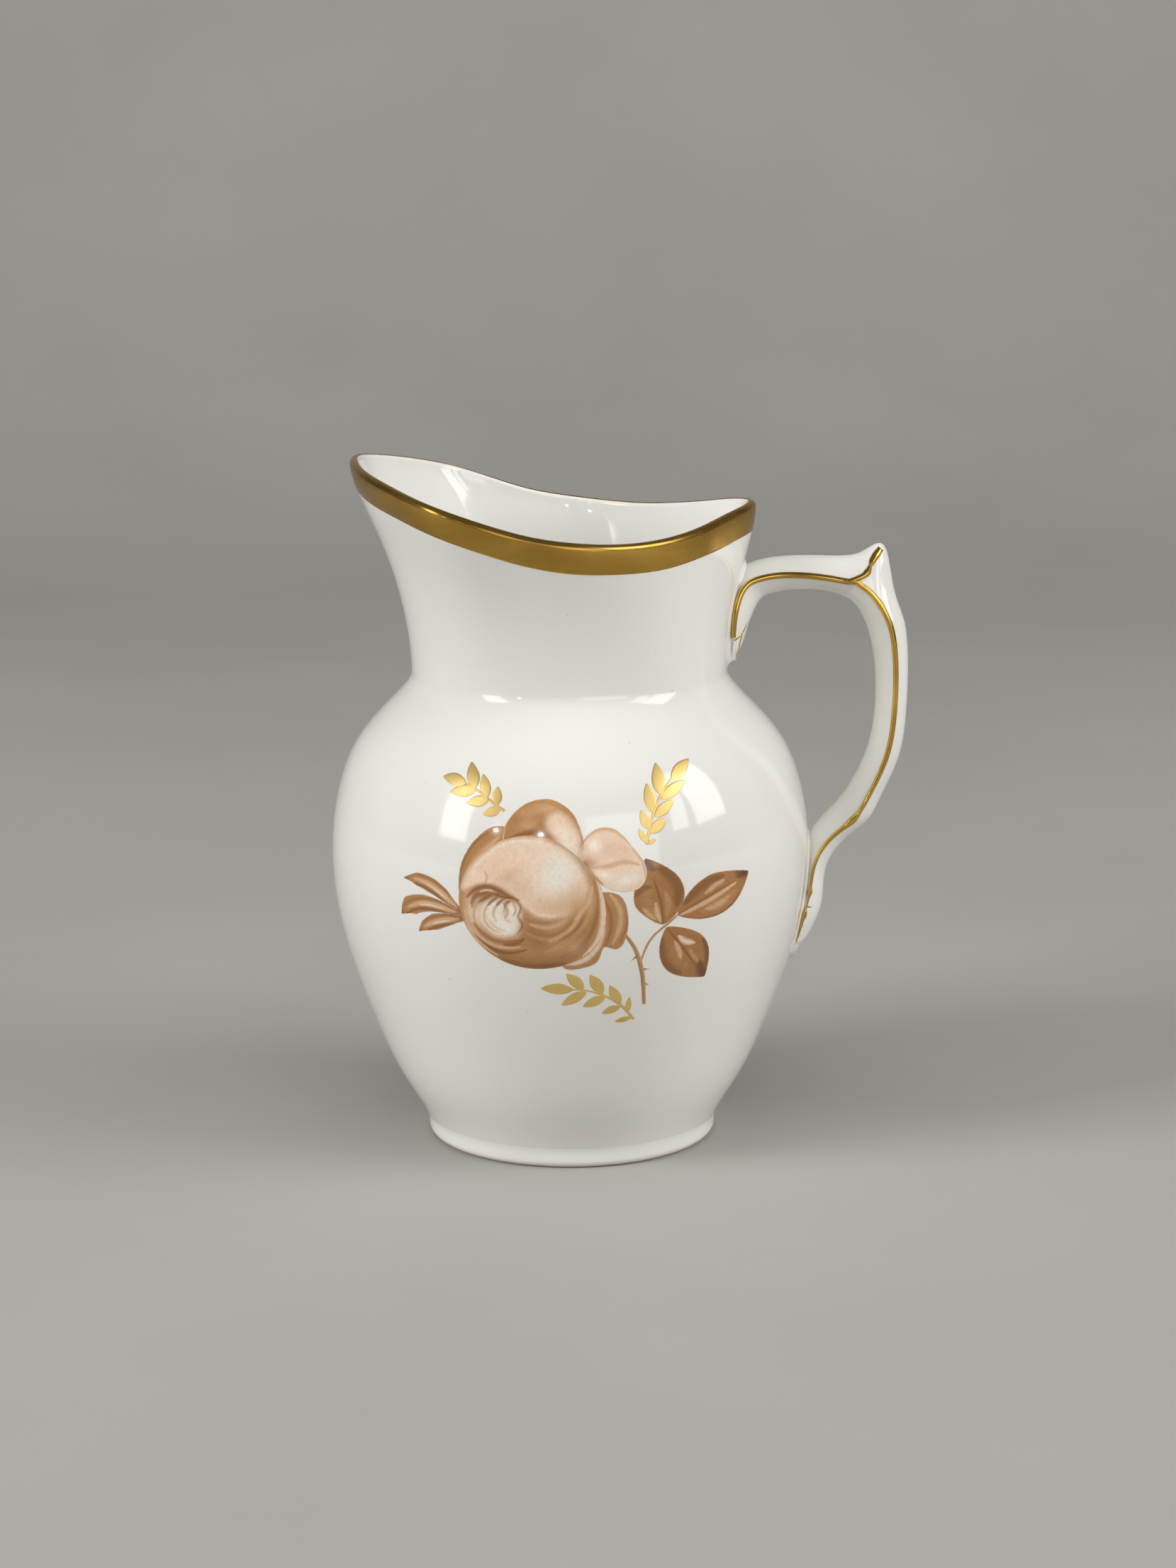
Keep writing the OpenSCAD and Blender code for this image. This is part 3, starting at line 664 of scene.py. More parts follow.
def on_belly(flat, lift):
    """Points of the XZ plane laid on the painted side of the belly, raised by lift."""
    x, z = flat[..., 0], flat[..., 1]
    r = belly_r(z)
    y = -np.sqrt(np.maximum(r * r - x * x, 0))
    slope = (belly_r(z + 0.05) - belly_r(z - 0.05)) / 0.1
    normal = np.stack([x / r, y / r, -slope], axis=-1)
    normal /= np.linalg.norm(normal, axis=-1, keepdims=True)
    return np.stack([x, y, z], axis=-1) + normal * np.asarray(lift)[..., None]


def closed_curve(points, count=240):
    """A smooth closed outline through a few points."""
    points = np.asarray(points, float)
    wrapped = np.concatenate([points[-3:], points, points[:3]])
    along = lengths(wrapped)
    at = np.linspace(along[3], along[3 + len(points)], count, endpoint=False)
    return np.stack([cubic(along, wrapped[:, k], at) for k in range(2)], axis=-1)


def to_line(flat, line):
    """Distance of each point to a line of points, and how far along the line that is."""
    start, way = line[:-1], np.diff(line, axis=0)
    off = flat[:, None] - start
    t = np.clip((off * way).sum(-1) / np.maximum((way ** 2).sum(-1), 1e-9), 0, 1)
    gap = np.linalg.norm(off - t[..., None] * way, axis=-1)
    best = gap.argmin(1)
    rows = np.arange(len(flat))
    return gap[rows, best], (best + t[rows, best]) / len(way)


def inside(flat, outline):
    a, b = outline, np.roll(outline, -1, axis=0)
    x, z = flat[:, 0, None], flat[:, 1, None]
    spans = (a[:, 1] > z) != (b[:, 1] > z)
    climb = np.where(b[:, 1] == a[:, 1], 1e-9, b[:, 1] - a[:, 1])
    cross = a[:, 0] + (z - a[:, 1]) * (b[:, 0] - a[:, 0]) / climb
    return (spans & (x < cross)).sum(1) % 2 == 1


class Painting:
    """Colours for points of the XZ plane, laid on with brushes."""

    def __init__(self, flat, ground):
        self.flat = flat
        self.colours = np.tile(np.asarray(ground, float), (len(flat), 1))
        x, z = flat.T
        self.hairs = value_noise(x * 2.2 + z * 0.8, z * 2.2 - x * 0.8, 3)
        self.mottle = value_noise(x * 0.9, z * 0.9, 5)

    def lay(self, colour, cover):
        cover = np.clip(cover, 0, 1) * (0.93 + 0.14 * self.hairs)
        self.colours = mix(self.colours, colour, np.clip(cover, 0, 1))

    def stroke(self, colour, width, points, strength=0.9, soft=0.7, taper=0.6):
        """A brush stroke through a few points, finer at its ends."""
        gap, share = to_line(self.flat, smooth_path(points, 8 * len(points)))
        wide = width / 2 * (1 - taper * np.abs(2 * share - 1) ** 2.5)
        self.lay(colour, strength * (1 - step(1 - soft, 1 + soft, gap / wide)))

    def wash(self, colour, points, strength=1.0, soft=0.35):
        """A filled shape with a soft edge."""
        outline = closed_curve(points)
        gap, _ = to_line(self.flat, np.concatenate([outline, outline[:1]]))
        depth = np.where(inside(self.flat, outline), gap, -gap)
        self.lay(colour, strength * step(-soft, soft, depth))

    def glow(self, colour, centre, size, strength=0.8, turn=0):
        """A soft oval, wide and high by size, turned anticlockwise."""
        off, a = self.flat - centre, math.radians(turn)
        u = (off[:, 0] * math.cos(a) + off[:, 1] * math.sin(a)) / size[0]
        v = (off[:, 1] * math.cos(a) - off[:, 0] * math.sin(a)) / size[1]
        self.lay(colour, strength * np.exp(-(u * u + v * v)))

    def grain(self):
        """Uneven cover: the whole picture a little lighter or darker in patches."""
        shade = 1 + GRAIN * (self.hairs - 0.5) * 2 + GRAIN * (self.mottle - 0.5)
        self.colours = self.colours * shade[:, None]


def disc(cells):
    """An even grid of quads that fills the unit disc."""
    u, v = np.meshgrid(np.linspace(-1, 1, cells + 1), np.linspace(-1, 1, cells + 1))
    return np.stack([u * np.sqrt(1 - v * v / 2), v * np.sqrt(1 - u * u / 2)], axis=-1)


def build_patch(node, outline, centre, cells, lift, enamel, ground, picture, edge_paint=WHITE):
    """A painted shape: its outline, seen from centre, filled with a fine grid on the belly."""
    edge = closed_curve(outline, 720) - centre
    bearing = np.unwrap(np.arctan2(edge[:, 1], edge[:, 0]))
    order = np.argsort(bearing % (2 * np.pi))
    bearing, reach = (bearing % (2 * np.pi))[order], np.linalg.norm(edge, axis=1)[order]
    grid = disc(cells)
    turn = np.arctan2(grid[..., 1], grid[..., 0]) % (2 * np.pi)
    full = np.interp(turn, bearing, reach, period=2 * np.pi)
    flat = np.asarray(centre) + grid * full[..., None]
    rim = (1 - np.linalg.norm(grid, axis=-1)) * full
    lifts = np.where(rim < 1e-6, SUNK, lift)
    painting = Painting(flat.reshape(-1, 2), ground)
    picture(painting)
    painting.grain()
    fade = step(0.0, 0.2, rim.ravel() + 0.1 * (painting.hairs - 0.5))
    colours = mix(edge_paint, painting.colours, fade)
    faces = grid_faces(cells + 1, cells + 1)
    paint(make(f"{node}_paint", on_belly(flat, lifts), faces, enamel, node), colours)


def paint_bloom(p):
    """The big outer petals: pale ball above, brown rolled edges below and on the right."""
    p.glow(TAN, (-1, 43), (6, 3.4), 0.6, 20)
    p.stroke(UMBER, 2.4, [(-15.2, 43), (-12, 40.2), (-7, 38.6), (-1.5, 39.2), (2.2, 42)], 0.7, 0.9)
    p.stroke(DARK, 1.0, [(-11, 39.2), (-6, 38.2), (-1, 38.9)], 0.7)
    p.glow(DARK, (-5.2, 43.2), (2, 2.6), 0.5, 20)
    p.glow(UMBER, (1.6, 44.6), (2.2, 2.4), 0.45, 30)
    p.stroke(BLUSH, 1.1, [(4.2, 53), (5, 50), (5.2, 46.5), (4.4, 42.8), (2, 40)], 0.85, 0.6)
    p.stroke(UMBER, 0.7, [(3.6, 52.6), (4.2, 49.5), (3.8, 45.8), (2, 42.2), (-1.6, 39.8)], 0.8)
    p.stroke(TAN, 0.8, [(2.9, 51.4), (3.1, 48.2), (1.8, 45), (-0.8, 42.4), (-4, 40.8)], 0.75, 0.9)
    p.stroke(DARK, 0.6, [(2.3, 51), (2.4, 48), (1, 45), (-1.8, 42.8)], 0.55, 0.9)
    p.stroke(SAND, 0.7, [(1.7, 50), (1.4, 47.2), (-0.2, 44.6), (-3.4, 42.6)], 0.75, 0.9)
    p.stroke(UMBER, 0.6, [(1.0, 48.6), (0.2, 46), (-2, 44), (-4.4, 43.2)], 0.6, 0.9)
    p.stroke(SAND, 0.9, [(0.4, 48), (-1.2, 46.2), (-3.8, 45), (-6.4, 45.4)], 0.8, 0.9)
    p.stroke(UMBER, 0.8, [(-7.8, 46.6), (-5.4, 45.6), (-2.6, 45.8), (0.2, 47.2)], 0.5, 0.9)
    p.stroke(TAN, 0.6, [(-7.2, 44), (-4.6, 43), (-1.8, 43.4)], 0.6, 0.9)
    p.wash(BLUSH, [
        (-17.1, 50.4), (-16.2, 53.4), (-13.4, 56.6), (-9.6, 58.8), (-5.8, 59.2), (-2.2, 58),
        (0.8, 55.4), (2.6, 51.8), (1.8, 48.8), (-1.2, 46.8), (-4.8, 46.6), (-8.2, 48.8),
        (-11.6, 51.2), (-14, 51.2)
    ], 1, 0.7)
    p.glow(SAND, (0.4, 50.4), (2.8, 2.6), 0.75, 30)
    p.glow(SAND, (-2.6, 48.4), (4, 1.7), 0.85, 10)
    p.glow(SAND, (-8.4, 51.6), (3.4, 1.6), 0.5, -25)
    p.glow(TAN, (-9.4, 53.4), (2.6, 1.0), 0.35, 35)
    p.glow(rgb(234, 198, 172), (-12.6, 54.4), (3, 2), 0.6, 40)
    p.glow(rgb(238, 208, 184), (-6.6, 56), (3.4, 1.6), 0.5, 15)
    p.glow(rgb(234, 224, 208), (-2.2, 53.8), (3, 3.4), 0.95, -40)
    p.glow(rgb(230, 226, 216), (-1.6, 53.2), (1.7, 2.4), 0.8, -40)
    p.stroke(PALE, 0.5, [(-15.4, 53.8), (-12.4, 56.8), (-8.4, 58.6), (-4.4, 58.4)], 0.5, 0.9)
    p.stroke(CLAY, 0.3, [(-13.6, 51.6), (-13.2, 52.6), (-13.6, 53.6)], 0.6)
    p.stroke(BLUSH, 0.6, [(-6.8, 48.1), (-4.6, 47), (-2.4, 46.8)], 0.85, 0.9)
    p.glow(TAN, (1.2, 48.2), (2, 1.4), 0.8, 40)
    p.stroke(SAND, 0.6, [(3.4, 51.6), (2.6, 48.6), (0.6, 46.2)], 0.7, 0.9)
    p.glow(UMBER, (-0.2, 43.4), (1.6, 0.8), 0.35, 20)
    p.glow(SAND, (0.8, 41.4), (1.8, 0.9), 0.35, 35)
    paint_heart(p)


def paint_heart(p):
    """The rolled middle of the rose, low on its left."""
    p.wash(TAN, [
        (-17, 48.6), (-16.2, 50.4), (-13.4, 51.6), (-10.2, 50.6), (-8, 48.8), (-7.6, 46),
        (-8.2, 43.4), (-11, 41.8), (-14, 42.6), (-16, 45.2)
    ], 1, 0.5)
    p.glow(BLUSH, (-15.2, 46.6), (1.2, 2.6), 0.9, 10)
    p.glow(UMBER, (-13.2, 50.2), (2.2, 1), 0.75)
    p.wash(PALE, [
        (-14.4, 47), (-13, 48.9), (-10.4, 49), (-8.2, 48.2), (-8, 46), (-9, 43.8), (-11.6, 43.2),
        (-13.6, 44.6)
    ], 0.85, 0.6)
    for curl in (
        [(-12.4, 50), (-14.7, 48.4), (-15.3, 46), (-14.2, 43.9), (-12, 42.9)],
        [(-11.4, 49.6), (-13.2, 48), (-13.7, 46.2), (-12.8, 44.5), (-11, 43.7)],
        [(-10.4, 49.3), (-11.8, 48), (-12.2, 46.7), (-11.6, 45.4)],
        [(-9.4, 49.1), (-10.4, 47.9), (-10.5, 46.7)],
    ):
        p.stroke(CLAY, 0.4, curl, 0.6, 0.9, 0.9)
        p.stroke(DARK, 0.5, [curl[0], (curl[0][0] - 1, curl[0][1] - 0.7), curl[1]], 0.75, 0.9, 0.9)
    p.glow(rgb(234, 228, 216), (-10.4, 44.8), (1.7, 1.1), 0.9, -20)
    p.glow(rgb(234, 228, 216), (-9.0, 47.4), (0.8, 0.8), 0.85)
    p.stroke(CLAY, 0.5, [(-10.6, 48.6), (-10, 47.2), (-10.4, 46.2)], 0.7, 0.9)
    p.stroke(UMBER, 0.4, [(-9.2, 48.8), (-8.7, 47.8), (-9.1, 46.6)], 0.6, 0.9)
    p.stroke(SAND, 0.4, [(-13.4, 46.4), (-12.2, 44.8), (-10.2, 44)], 0.6, 0.8)
    p.stroke(SAND, 0.3, [(-10.6, 46.8), (-10.2, 46), (-9.4, 45.6)], 0.7, 0.8)
    p.stroke(DARK, 0.7, [(-16.4, 49.2), (-14.8, 50.7), (-12.6, 51.1), (-10.4, 50.1), (-8.2, 49.2)], 0.8, 0.9)
    p.stroke(DARK, 0.8, [(-15.6, 47.6), (-15, 49.4), (-13.4, 50)], 0.6, 0.9)
    p.stroke(UMBER, 0.5, [(-15.8, 48.2), (-14.8, 49.8), (-13, 50.2), (-11.4, 49.6)], 0.8, 0.9)
    p.stroke(BLUSH, 0.3, [(-14.4, 50.2), (-13, 50.6), (-11.8, 50.3)], 0.7)
    p.stroke(DEEP, 0.32, [(-12.2, 50.4), (-10.6, 49.6), (-9, 49.7)], 0.8, 0.8)
    p.stroke(DARK, 0.4, [(-8.6, 49.2), (-7.9, 47.9), (-8.3, 46.6), (-7.7, 45.4), (-8.4, 43.8)], 0.7, 0.9)
    p.stroke(UMBER, 0.6, [(-15.4, 45), (-13.6, 43.1), (-11, 42.2), (-8.4, 42.7)], 0.85, 0.9)
    p.stroke(SAND, 0.5, [(-15.9, 44.4), (-13.8, 42.3), (-11, 41.3), (-8, 41.5)], 0.85, 0.8)
    p.stroke(DARK, 0.55, [(-15.4, 43.2), (-12.8, 41.1), (-9.8, 40.4), (-7, 41.1)], 0.8, 0.8)
    p.stroke(DEEP, 0.7, [(-10.6, 41.8), (-8.8, 42), (-7.4, 43)], 0.6, 0.9)
    p.stroke(SAND, 0.5, [(-16.8, 47), (-16.3, 44.6), (-14.4, 41.8), (-11.6, 39.9)], 0.8, 0.8)


def paint_top(p):
    p.glow(TAN, (-6.4, 62.8), (3.4, 1.6), 0.9, 20)
    p.glow(SAND, (-3.4, 63.6), (2, 1), 0.6)
    p.glow(UMBER, (-8.4, 61.6), (1.2, 0.8), 0.5)
    p.glow(SAND, (-6.6, 61), (1.6, 0.7), 0.45)
    p.glow(UMBER, (-5, 62.4), (1.2, 0.5), 0.35, 20)
    p.glow(UMBER, (-4.4, 61), (1.2, 0.7), 0.45, 20)
    p.stroke(DARK, 0.9, [(-10, 58.6), (-7, 59.7), (-4, 59.9), (-1.6, 58.6)], 0.7, 0.9)
    p.wash(BLUSH, [
        (-3.8, 61.6), (-2.2, 63), (0.4, 61.4), (1.7, 58.4), (1, 56), (-1, 57.2), (-2.6, 59.2)
    ], 0.95, 0.8)
    p.glow(PALE, (-0.6, 58.8), (0.9, 2), 0.8, 25)
    p.stroke(CLAY, 0.4, [(-9.4, 61.6), (-7, 63.9), (-3.6, 64.5), (-0.4, 62.9)], 0.5, 0.9)
    p.stroke(CLAY, 0.4, [(0.3, 62.6), (1.7, 59.8), (1.8, 57.4)], 0.6, 0.9)


def paint_left(p):
    p.stroke(TAN, 1.2, [(-16.4, 52), (-14.6, 55.8), (-11.4, 58.8)], 0.8)
    p.stroke(SAND, 0.5, [(-16, 53), (-14, 56.4), (-11.2, 59)], 0.6)
    p.stroke(UMBER, 0.5, [(-17.6, 50.6), (-17.2, 54), (-14.8, 58.2), (-11.4, 60.4)], 0.7)
    p.stroke(DARK, 0.9, [(-16.4, 49), (-15.6, 53), (-12.6, 56.8), (-9, 59)], 0.6)


def paint_right(p):
    p.glow(rgb(212, 172, 142), (6, 57.4), (4, 1.5), 0.8, -20)
    p.stroke(TAN, 0.7, [(1.4, 57.8), (3.6, 60.1), (6.6, 60.3), (9.4, 57.9)], 0.8)
    p.glow(PALE, (3.8, 58), (1.2, 1), 0.9)
    p.glow(SAND, (8.4, 57.4), (1.6, 1), 0.5, -40)
    p.glow(CLAY, (2.8, 55.2), (1.4, 1), 0.85)
    p.stroke(TAN, 0.8, [(2.8, 54.6), (5.6, 54.6), (8.6, 55.2), (10.8, 54.6)], 0.75)
    p.glow(PALE, (9, 52.4), (2.4, 1.1), 0.9, 15)
    p.glow(PALE, (5.6, 53.2), (1.6, 0.7), 0.8, -25)
    p.stroke(CLAY, 0.4, [(9.6, 57.4), (11.4, 54.8), (11.8, 52.6)], 0.5)
    p.stroke(UMBER, 0.7, [(2.2, 55.4), (3.4, 53.4), (5, 51.8)], 0.7)


def paint_under(p):
    p.stroke(SAND, 0.8, [(6.2, 50.2), (7.8, 47.4), (7.6, 44.4), (6.6, 42)], 0.6)
    p.stroke(UMBER, 0.6, [(4.8, 50), (6.2, 47.2), (6.2, 44), (5.4, 41.6)], 0.8)
    p.stroke(UMBER, 0.4, [(8.8, 48.2), (8.8, 45), (7.6, 42)], 0.6)
    p.stroke(BLUSH, 0.9, [(-1.6, 38.8), (1.6, 39.2), (4, 41.4), (5, 44.4), (5.2, 47.4)], 0.8)
    p.stroke(CLAY, 0.35, [(-1, 38.2), (2.4, 38.4), (4.6, 40.8)], 0.7)


def leaf_widths(width, rows, belly=0.45):
    """Widths along a pointed leaf that is broadest at a share of its length."""
    t = np.linspace(0, 1, rows)
    full = np.where(t < belly, t / belly, (1 - t) / (1 - belly))
    return 0.1 + width * np.sin(np.pi / 2 * full) ** np.where(t < belly, 0.75, 0.9)


def leftward(middle):
    """Unit ways to the left of a curve of XZ points."""
    ahead = np.gradient(middle, axis=0)
    ahead /= np.linalg.norm(ahead, axis=1, keepdims=True)
    return np.stack([-ahead[:, 1], ahead[:, 0]], axis=1)


def ribbon(points, widths, rows, cells):
    """A flat strip along a curve of XZ points: its grid, and the place across it, -1 to 1."""
    middle = smooth_path(points, rows)
    widths = np.interp(np.linspace(0, 1, rows), np.linspace(0, 1, len(widths)), widths)
    side = leftward(middle)
    v = np.linspace(-1, 1, cells + 1)
    grid = middle[:, None] + side[:, None] * (widths[:, None] / 2 * v)[..., None]
    return grid, np.broadcast_to(v, grid.shape[:2]), widths


def build_ribbons(node, ribbons, lift, material, ground=None, picture=None, dome=0.0):
    """Strips laid on the belly as one piece, their edges let into the glaze, painted if asked."""
    parts, flats, fades = [], [], []
    for grid, v, widths in ribbons:
        inner = 1 - np.abs(v)
        at_edge = inner < 1e-6
        at_edge[[0, -1]] = True
        lifts = np.where(at_edge, SUNK, lift + dome * np.minimum(1, 2 * inner))
        points = on_belly(grid, lifts).reshape(-1, 3)
        parts.append((points, grid_faces(*grid.shape[:2])))
        flats.append(grid.reshape(-1, 2))
        fades.append((inner * widths[:, None] / 2).ravel())
    points, faces = joined(parts)
    piece = make(f"{node}_paint", points, faces, material, node)
    if picture:
        painting = Painting(np.concatenate(flats), ground)
        picture(painting)
        painting.grain()
        fade = step(-0.02, 0.16, np.concatenate(fades) + 0.06 * (painting.hairs - 0.5))
        paint(piece, mix(WHITE, painting.colours, fade))


def build_leaf(node, spine, width, belly, enamel, marks):
    """A rose leaf along a curved spine; marks are strokes in its own frame, 0 to 1 by -1 to 1."""
    rows = LEAF_ROWS
    middle = smooth_path(spine, rows)
    side = leftward(middle)
    halves = leaf_widths(width, rows, belly) / 2

    def place(t, v):
        i = int(round(t * (rows - 1)))
        return middle[i] + side[i] * halves[i] * v

    def picture(p):
        for colour, brush, points, strength in marks:
            p.stroke(colour, brush, [place(t, v) for t, v in points], strength)
        for t in (0.25, 0.4, 0.55, 0.7):
            for v in (-1, 1):
                vein = [place(t, 0), place(t + 0.06, 0.45 * v), place(t + 0.14, 0.8 * v)]
                p.stroke(DARK, 0.16, vein, 0.25)
        p.glow(DEEP, place(0.95, 0), (0.9, 0.9), 0.7)

    strip = ribbon(spine, leaf_widths(width, rows, belly), rows, 56)
    build_ribbons(node, [strip], 0.03, enamel, LEAF, picture)


def build_leaves(enamel):
    spine = [(14.6, 44.6), (14.2, 48.5), (13, 52.4), (11.8, 55.6)]
    build_leaf("leaf_upper", spine, 8.2, 0.42, enamel, [
        (DARK, 2.0, [(0.25, -0.7), (0.5, -0.8), (0.8, -0.6)], 0.8),
        (DEEP, 1.2, [(0.8, -0.3), (0.9, 0), (1, 0)], 0.7),
        (CLAY, 1.8, [(0.2, 0.4), (0.45, 0.5), (0.7, 0.3)], 0.7),
        (DARK, 1.1, [(0.55, 0.9), (0.62, 0.5), (0.6, 0.25)], 0.7),
        (SAND, 0.8, [(0.06, 0.3), (0.2, 0.25), (0.34, 0.2)], 0.85),
        (SAND, 0.7, [(0.1, 0.6), (0.2, 0.7), (0.3, 0.75)], 0.7),
        (TAN, 0.9, [(0.12, -0.3), (0.3, -0.3), (0.45, -0.25)], 0.6),
        (DEEP, 0.3, [(0, 0), (0.3, 0), (0.7, 0)], 0.6),
    ])
    spine = [(16.9, 46), (20.4, 47.4), (24.4, 49), (28.6, 51.2)]
    build_leaf("leaf_right", spine, 7.0, 0.52, enamel, [
        (DARK, 1.6, [(0.15, 0.6), (0.4, 0.75), (0.7, 0.7)], 0.75),
        (DEEP, 0.9, [(0.84, 0.3), (0.93, 0.1), (1, 0)], 0.8),
        (DEEP, 0.8, [(0.85, 0.7), (0.93, 0.5), (0.98, 0)], 0.7),
        (CLAY, 1.8, [(0.3, -0.5), (0.5, -0.5), (0.75, -0.5)], 0.8),
        (SAND, 0.9, [(0.35, -0.45), (0.5, -0.5), (0.65, -0.45)], 0.6),
        (SAND, 0.75, [(0.04, -0.3), (0.3, -0.12), (0.8, -0.1)], 0.95),
        (SAND, 0.8, [(0.42, 0.3), (0.55, 0.4), (0.68, 0.45)], 0.75),
        (DARK, 0.35, [(0.04, 0.1), (0.3, 0.08), (0.8, 0.06)], 0.7),
        (DARK, 0.5, [(0.2, -0.95), (0.5, -0.97), (0.8, -0.95)], 0.6),
    ])
    spine = [(15.2, 44.2), (17, 41), (19.2, 37.8), (21.4, 34.6)]
    build_leaf("leaf_lower", spine, 7.8, 0.5, enamel, [
        (DARK, 1.5, [(0.12, -0.8), (0.4, -0.9), (0.7, -0.8)], 0.7),
        (DEEP, 1.6, [(0.75, 0.3), (0.88, 0.2), (1, 0)], 0.8),
        (DEEP, 0.8, [(0.5, 0.9), (0.7, 0.85), (0.85, 0.7)], 0.7),
        (CLAY, 1.4, [(0.3, -0.3), (0.5, -0.35), (0.7, -0.3)], 0.6),
        (BLUSH, 0.9, [(0.22, 0.3), (0.36, 0.35), (0.46, 0.55)], 0.9),
        (SAND, 0.8, [(0.26, -0.05), (0.4, -0.1), (0.52, -0.25)], 0.8),
        (TAN, 0.7, [(0.5, 0.25), (0.62, 0.2), (0.74, 0.25)], 0.7),
        (DEEP, 0.3, [(0.02, 0), (0.3, 0.08), (0.8, 0.03)], 0.6),
    ])


def build_sepals(enamel):
    """Three sepals that curl away from the rose's left side."""
    spines = [
        ([(-16.6, 46.3), (-18, 47.2), (-20.4, 49.2), (-22.6, 50.5), (-24.8, 51), (-26.8, 50.8)],
         [1, 1.2, 2.2, 2.7, 2.3, 0.1]),
        ([(-16.4, 46.1), (-18, 46.4), (-20.6, 47), (-23.2, 47.2), (-25.6, 46.4), (-27.2, 44.6)],
         [1, 1.3, 2.2, 3, 3.4, 0.1]),
        ([(-16.4, 45.8), (-17.6, 45.5), (-19.8, 45), (-22, 44.2), (-23.6, 43.1), (-24.4, 42.2)],
         [1, 1.5, 2.4, 2.9, 2, 0.1]),
    ]

    def picture(p):
        for spine, _ in spines:
            line = smooth_path(spine, 7)
            side = np.array([line[0, 1] - line[-1, 1], line[-1, 0] - line[0, 0]])
            side /= np.linalg.norm(side)
            p.stroke(SAND, 0.8, line[1:6], 0.8)
            p.stroke(PALE, 0.3, line[2:5] + side * 0.2, 0.5)
            p.stroke(DARK, 0.5, line[1:] + side * 0.85, 0.75)
            p.stroke(UMBER, 0.5, line[1:] - side * 0.85, 0.7)
            p.glow(DEEP, line[-1], (0.9, 0.9), 0.7)
        p.glow(DARK, (-16.8, 46), (1.4, 1.2), 0.7)

    strips = [ribbon(spine, widths, 60, 20) for spine, widths in spines]
    build_ribbons("rose_sepals", strips, 0.025, enamel, CLAY, picture)


def build_stem(enamel):
    stem = [(8.4, 43.6), (9.8, 41.6), (10.8, 39), (11.4, 35.6), (11.6, 31)]
    branch = [(11, 38.4), (11.8, 40.8), (13.2, 43), (15.2, 44.6), (17.2, 46.2)]
    thorns = (
        [(10.7, 39.6), (10.1, 39.4), (9.5, 38.8)], [(11.2, 37.4), (11.9, 37.3), (12.6, 37.4)],
        [(11.5, 34.9), (12, 34.6), (12.6, 34.7)],
    )
    strips = [
        ribbon(stem, [0.7, 0.8, 0.9, 0.8, 0.7], 60, 8),
        ribbon(branch, [0.4, 0.5, 0.5, 0.55, 0.4], 50, 6),
    ] + [ribbon(thorn, [0.7, 0.4, 0.1], 12, 6) for thorn in thorns]

    def picture(p):
        p.stroke(TAN, 0.3, [(8.6, 43.6), (10, 41.5), (11, 38.9), (11.6, 35.5), (11.8, 31.4)], 0.7)
        p.stroke(DARK, 0.3, [(8.3, 43), (9.6, 41.2), (10.5, 38.8), (11.1, 35.4), (11.3, 31)], 0.6)

    build_ribbons("rose_stem", strips, 0.03, enamel, CLAY, picture)


def build_spray(node, stalk, leaves, gold):
    """A sprig of gold leaves on a stalk; each leaf is its base, its tip and its width."""
    strips = [ribbon(stalk, [0.55, 0.5, 0.45, 0.3], 60, 6)]
    for base, tip, width in leaves:
        middle = (np.array(base) + np.array(tip)) / 2
        strips.append(ribbon([base, middle, tip], leaf_widths(0.88 * width, 15), 30, 14))
    build_ribbons(node, strips, 0.03, gold, dome=0.012)


def build_sprays(gold):
    build_spray("gold_spray_left", [
        (-10.3, 63), (-11.7, 63.8), (-13.3, 64.9), (-15, 66), (-16.8, 66.8)
    ], [
        ((-16.4, 66.8), (-20.2, 67.3), 2.2), ((-15.1, 66), (-15.6, 69.8), 2.4),
        ((-14.8, 65.9), (-19, 65.2), 2.1), ((-13.1, 64.8), (-13.7, 68.2), 2),
        ((-12.8, 64.6), (-16.4, 63.8), 1.9), ((-11.6, 63.7), (-11.4, 66.6), 1.8),
        ((-10.9, 63.3), (-13.8, 62.3), 1.7)
    ], gold)
    build_spray("gold_spray_right", [
        (12, 57.6), (12.4, 59.7), (13, 62), (14, 64.4), (15.5, 66.6), (17.2, 68.3)
    ], [
        ((12.1, 58), (10.7, 60.2), 1.2), ((12.2, 57.8), (13.5, 58.4), 0.7),
        ((12.5, 60), (11.1, 63), 1.9), ((12.6, 59.4), (15.1, 61.5), 2.1),
        ((13.1, 62.4), (12, 66.9), 2.2), ((13.3, 61.8), (16.4, 64.2), 2.1),
        ((14.3, 65), (13.5, 69.7), 2.4), ((14.3, 64.4), (18.3, 66.8), 2.2),
        ((16, 67), (18.9, 69.7), 2.5)
    ], gold)
    build_spray("gold_spray_lower", [
        (10, 28.4), (7.6, 31.5), (4.8, 33.3), (2, 34.2), (-0.8, 34.3)
    ], [
        ((0.4, 34.3), (-4.9, 34.5), 2.2), ((2, 34.4), (-0.8, 37.1), 2.2), ((2.4, 33.9), (-1.6, 31.5), 2),
        ((5, 33.4), (3, 36.9), 2.3), ((5.4, 32.9), (1.8, 31.2), 1.9), ((7.8, 31.3), (6.1, 34.9), 2),
        ((7.9, 31.1), (4.8, 29.9), 1.5), ((8.9, 29.7), (9.3, 32.6), 1.1), ((9.6, 28.9), (6.9, 28.3), 1.1)
    ], gold)


